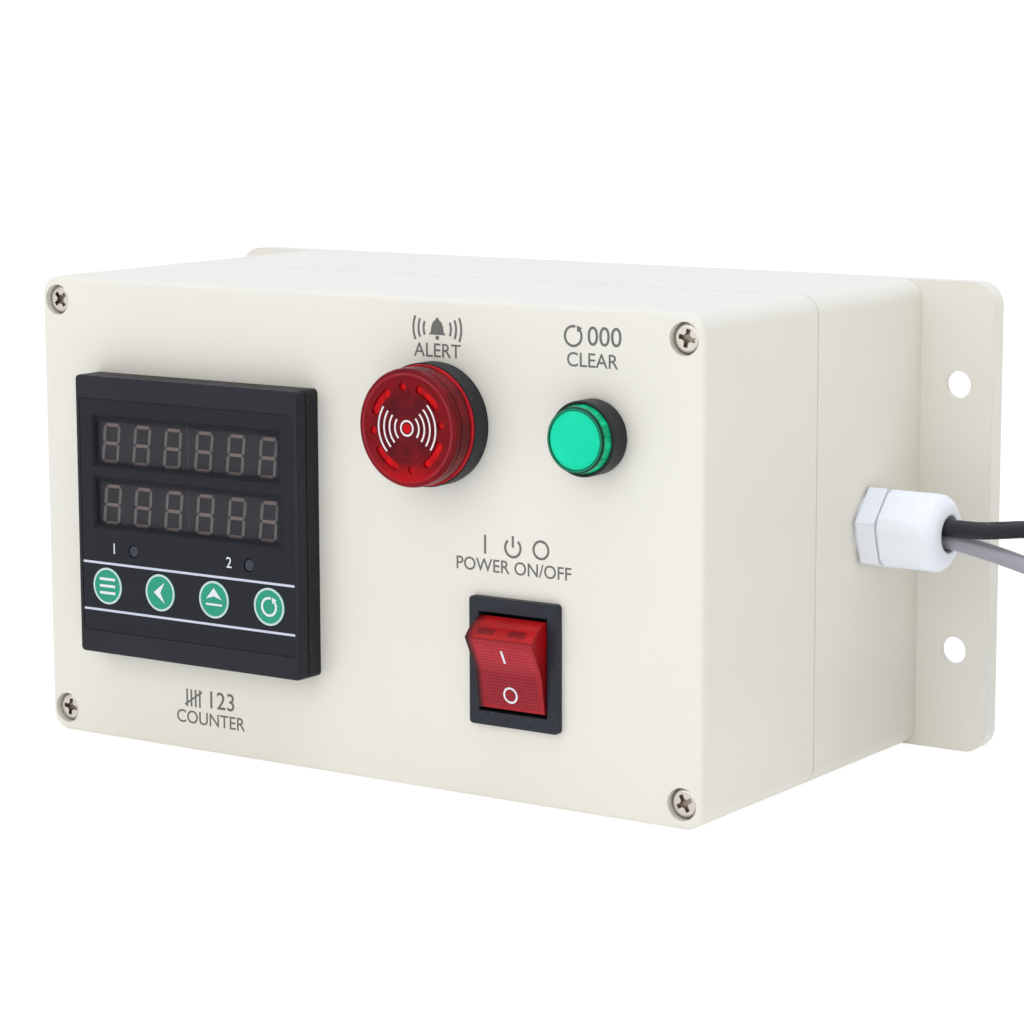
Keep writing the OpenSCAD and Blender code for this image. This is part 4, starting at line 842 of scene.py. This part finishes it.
def make_cord(name, points, look, cad_nodes):
    """A round cord along a line of points, in place of nodes of the solids, and its length in metres."""
    curve = bpy.data.curves.new(name, "CURVE")
    curve.dimensions = "3D"
    curve.bevel_depth = CORD_D / 2 * MM
    curve.bevel_resolution = 5
    curve.use_fill_caps = True
    spline = curve.splines.new("POLY")
    spline.points.add(len(points) - 1)
    for target, p in zip(spline.points, points):
        target.co = (p[0] * MM, p[1] * MM, p[2] * MM, 1)
    curve.materials.append(look)
    piece = add_object(name, curve)
    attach(piece, "box")
    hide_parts(*cad_nodes)
    length = sum((Vector(a) - Vector(b)).length for a, b in zip(points, points[1:])) * MM
    return piece, length


power_lead = lead([
    (4, CORD_SIDE[1], CORD_SIDE[2]), (14, CORD_SIDE[1], CORD_SIDE[2]), (22.2, -1.3, 1.8),
    (29.8, -0.6, 1.7), (35.8, 1.2, 2.1), (40.4, 3.4, 2.35), (45, 6.3, 1.5), (49.1, 9.5, -0.6),
    (52.4, 12.5, -4), (54.8, 14.9, -8.4), (56.4, 16.4, -13.7), (57.7, 17.45, -19.4),
    (58.1, 17.75, -25.15), (59, 18.1, -30.2), (60.75, 18.82, -34.9), (63.5, 19.94, -38.94),
    (67.24, 21.45, -42.04), (71.6, 23.21, -43.99), (76.28, 25, -44.65), (80.3, 26.2, -44.65),
    (84.6, 26.7, -44.65), (89, 26.75, -44.65)])
power_tail = tail([
    (12, 28.2, 3), (23, 25.5, 3.2), (32, 19.5, 4.2), (38, 11.5, 6), (40, 3, 7.3),
    (40, END_Y - END_SINK, 7.5)])
signal_lead = lead([
    (4, -CORD_SIDE[1], -CORD_SIDE[2]), (14, -CORD_SIDE[1], -CORD_SIDE[2]), (22.4, 1.35, -2.1),
    (28.8, 1.4, -3.2), (34.8, 1.8, -4.6), (40.8, 2.8, -6.4), (47.4, 4.5, -8.9), (54, 7.2, -11.9),
    (60.4, 10.8, -15), (66.4, 15, -18.2), (71.8, 18.9, -21), (76.8, 22.1, -23.3),
    (81.6, 24.6, -25.1), (86.2, 26, -26), (90.6, 26.65, -26.5)])
signal_tail = tail([
    (12, 29.6, 20.6), (24, 29.6, 18.2), (36, 27.2, 14.4), (47, 22, 11), (56, 14.5, 8.8),
    (61.5, 6, 8), (63.5, END_Y - END_SINK, 8)])
power_cord, power_length = make_cord(
    "power_cord_line", cord_line(power_lead, wound(POWER_COIL_TOP), power_tail),
    CORD_BLACK, ("power_cord", "power_coil"))
signal_cord, signal_length = make_cord(
    "signal_cord_line", cord_line(signal_lead, wound(SIGNAL_COIL_TOP), signal_tail),
    CORD_GREY, ("signal_cord", "signal_coil"))


# Camera, floor and light. The floor and the lamps are in metres

FRAME_PX = 1024
SENSOR = 36.0


def look_from(position, right, up, back, focal_px):
    """The camera, from its place, its three axes and its focal length in pixels of the frame."""
    data = bpy.data.cameras.new("camera")
    data.sensor_width = SENSOR
    data.lens = focal_px / FRAME_PX * SENSOR
    data.clip_start = 0.01
    data.clip_end = 50
    camera = add_object("camera", data)
    turn = Matrix((right, up, back)).transposed().to_4x4()
    camera.matrix_world = Matrix.Translation(Vector(position) * MM) @ turn
    bpy.context.scene.camera = camera


def seen_directly(tree):
    """A factor that is 1 where the camera, gloss or glass looks at a surface."""
    path = tree.nodes.new("ShaderNodeLightPath")
    found = path.outputs["Is Camera Ray"]
    for name in ("Is Glossy Ray", "Is Transmission Ray"):
        larger = tree.nodes.new("ShaderNodeMath")
        larger.operation = "MAXIMUM"
        tree.links.new(found, larger.inputs[0])
        tree.links.new(path.outputs[name], larger.inputs[1])
        found = larger.outputs[0]
    return found


def floor_piece(white, shade, glow):
    """A pale floor that turns up into a backdrop far behind.

    Where it is seen it is white, and keeps a faint shadow. To all else it glows a little, and lights
    the low parts."""
    half_width, front, back, rise, top, bend_steps = 6.0, -6.0, 3.0, 1.5, 5.0, 16
    under_part = 0.0002
    cloud_size = 1000 / 90
    line = [(front, 0.0)]
    for i in range(bend_steps + 1):
        a = math.pi / 2 * i / bend_steps
        line.append((back + rise * math.sin(a), rise - rise * math.cos(a)))
    line.append((back + rise, top))
    level = FLOOR_Z * MM - under_part
    mesh = bpy.data.meshes.new("floor")
    form = bmesh.new()
    left, right = [[form.verts.new((x, y, z + level)) for y, z in line]
                   for x in (-half_width, half_width)]
    for i in range(len(line) - 1):
        form.faces.new((left[i], right[i], right[i + 1], left[i + 1]))
    form.to_mesh(mesh)
    form.free()
    for face in mesh.polygons:
        face.use_smooth = True
    floor = add_object("floor", mesh)
    t = Tree("floor_pale")
    pale = t.mix(t.patches(cloud_size, 3.0), srgb(249, 249, 249), srgb(252, 252, 252))
    seen = seen_directly(t.tree)
    t.colour(t.mix(seen, pale, (shade, shade, shade, 1.0)))
    t.link(t.span(seen, glow, white, 0, 1), t.shader.inputs["Emission Strength"])
    t.set(Emission_Color=(1, 1, 1, 1))
    mesh.materials.append(t.done(0.9, 0.0))


def white_room(strength):
    """A world that lights plainly, and is white where it is seen."""
    world = bpy.data.worlds.new("studio")
    bpy.context.scene.world = world
    world.use_nodes = True
    tree = world.node_tree
    background = tree.nodes["Background"]
    background.inputs["Color"].default_value = (1, 1, 1, 1)
    level = tree.nodes.new("ShaderNodeMapRange")
    level.inputs["To Min"].default_value = strength
    tree.links.new(seen_directly(tree), level.inputs["Value"])
    tree.links.new(level.outputs["Result"], background.inputs["Strength"])


def light(name, place, size, power, tint=(1.0, 1.0, 1.0)):
    """A soft lamp that looks at the box, with its power in watts."""
    aim = Vector((0, -0.05, 0))
    data = bpy.data.lights.new(name, "AREA")
    data.shape = "RECTANGLE"
    data.size, data.size_y = size
    data.energy = power
    data.color = tint
    lamp = add_object(name, data)
    lamp.location = place
    lamp.rotation_mode = "QUATERNION"
    lamp.rotation_quaternion = (aim - Vector(place)).to_track_quat("-Z", "Y")


look_from(position=(461.244, -722.333, 125.937), right=(0.82749074, 0.56147017, -0.00321372),
          up=(-0.08440646, 0.13005219, 0.98790788), back=(0.55509876, -0.81721336, 0.15500869),
          focal_px=3145.297)
floor_piece(white=0.88, shade=0.25, glow=0.19)
white_room(strength=0.52)
light("key_soft", place=(-0.12, -1.6, 0.7), size=(2.2, 1.4), power=9.8)
light("top_soft", place=(0.2, -0.05, 1.5), size=(1.4, 1.2), power=15.8, tint=(0.7, 0.8, 1.0))
light("side_soft", place=(1.6, -0.15, 0.12), size=(1.0, 0.3), power=1.5, tint=(1.0, 0.84, 0.46))
bpy.context.scene.view_settings.view_transform = "Standard"
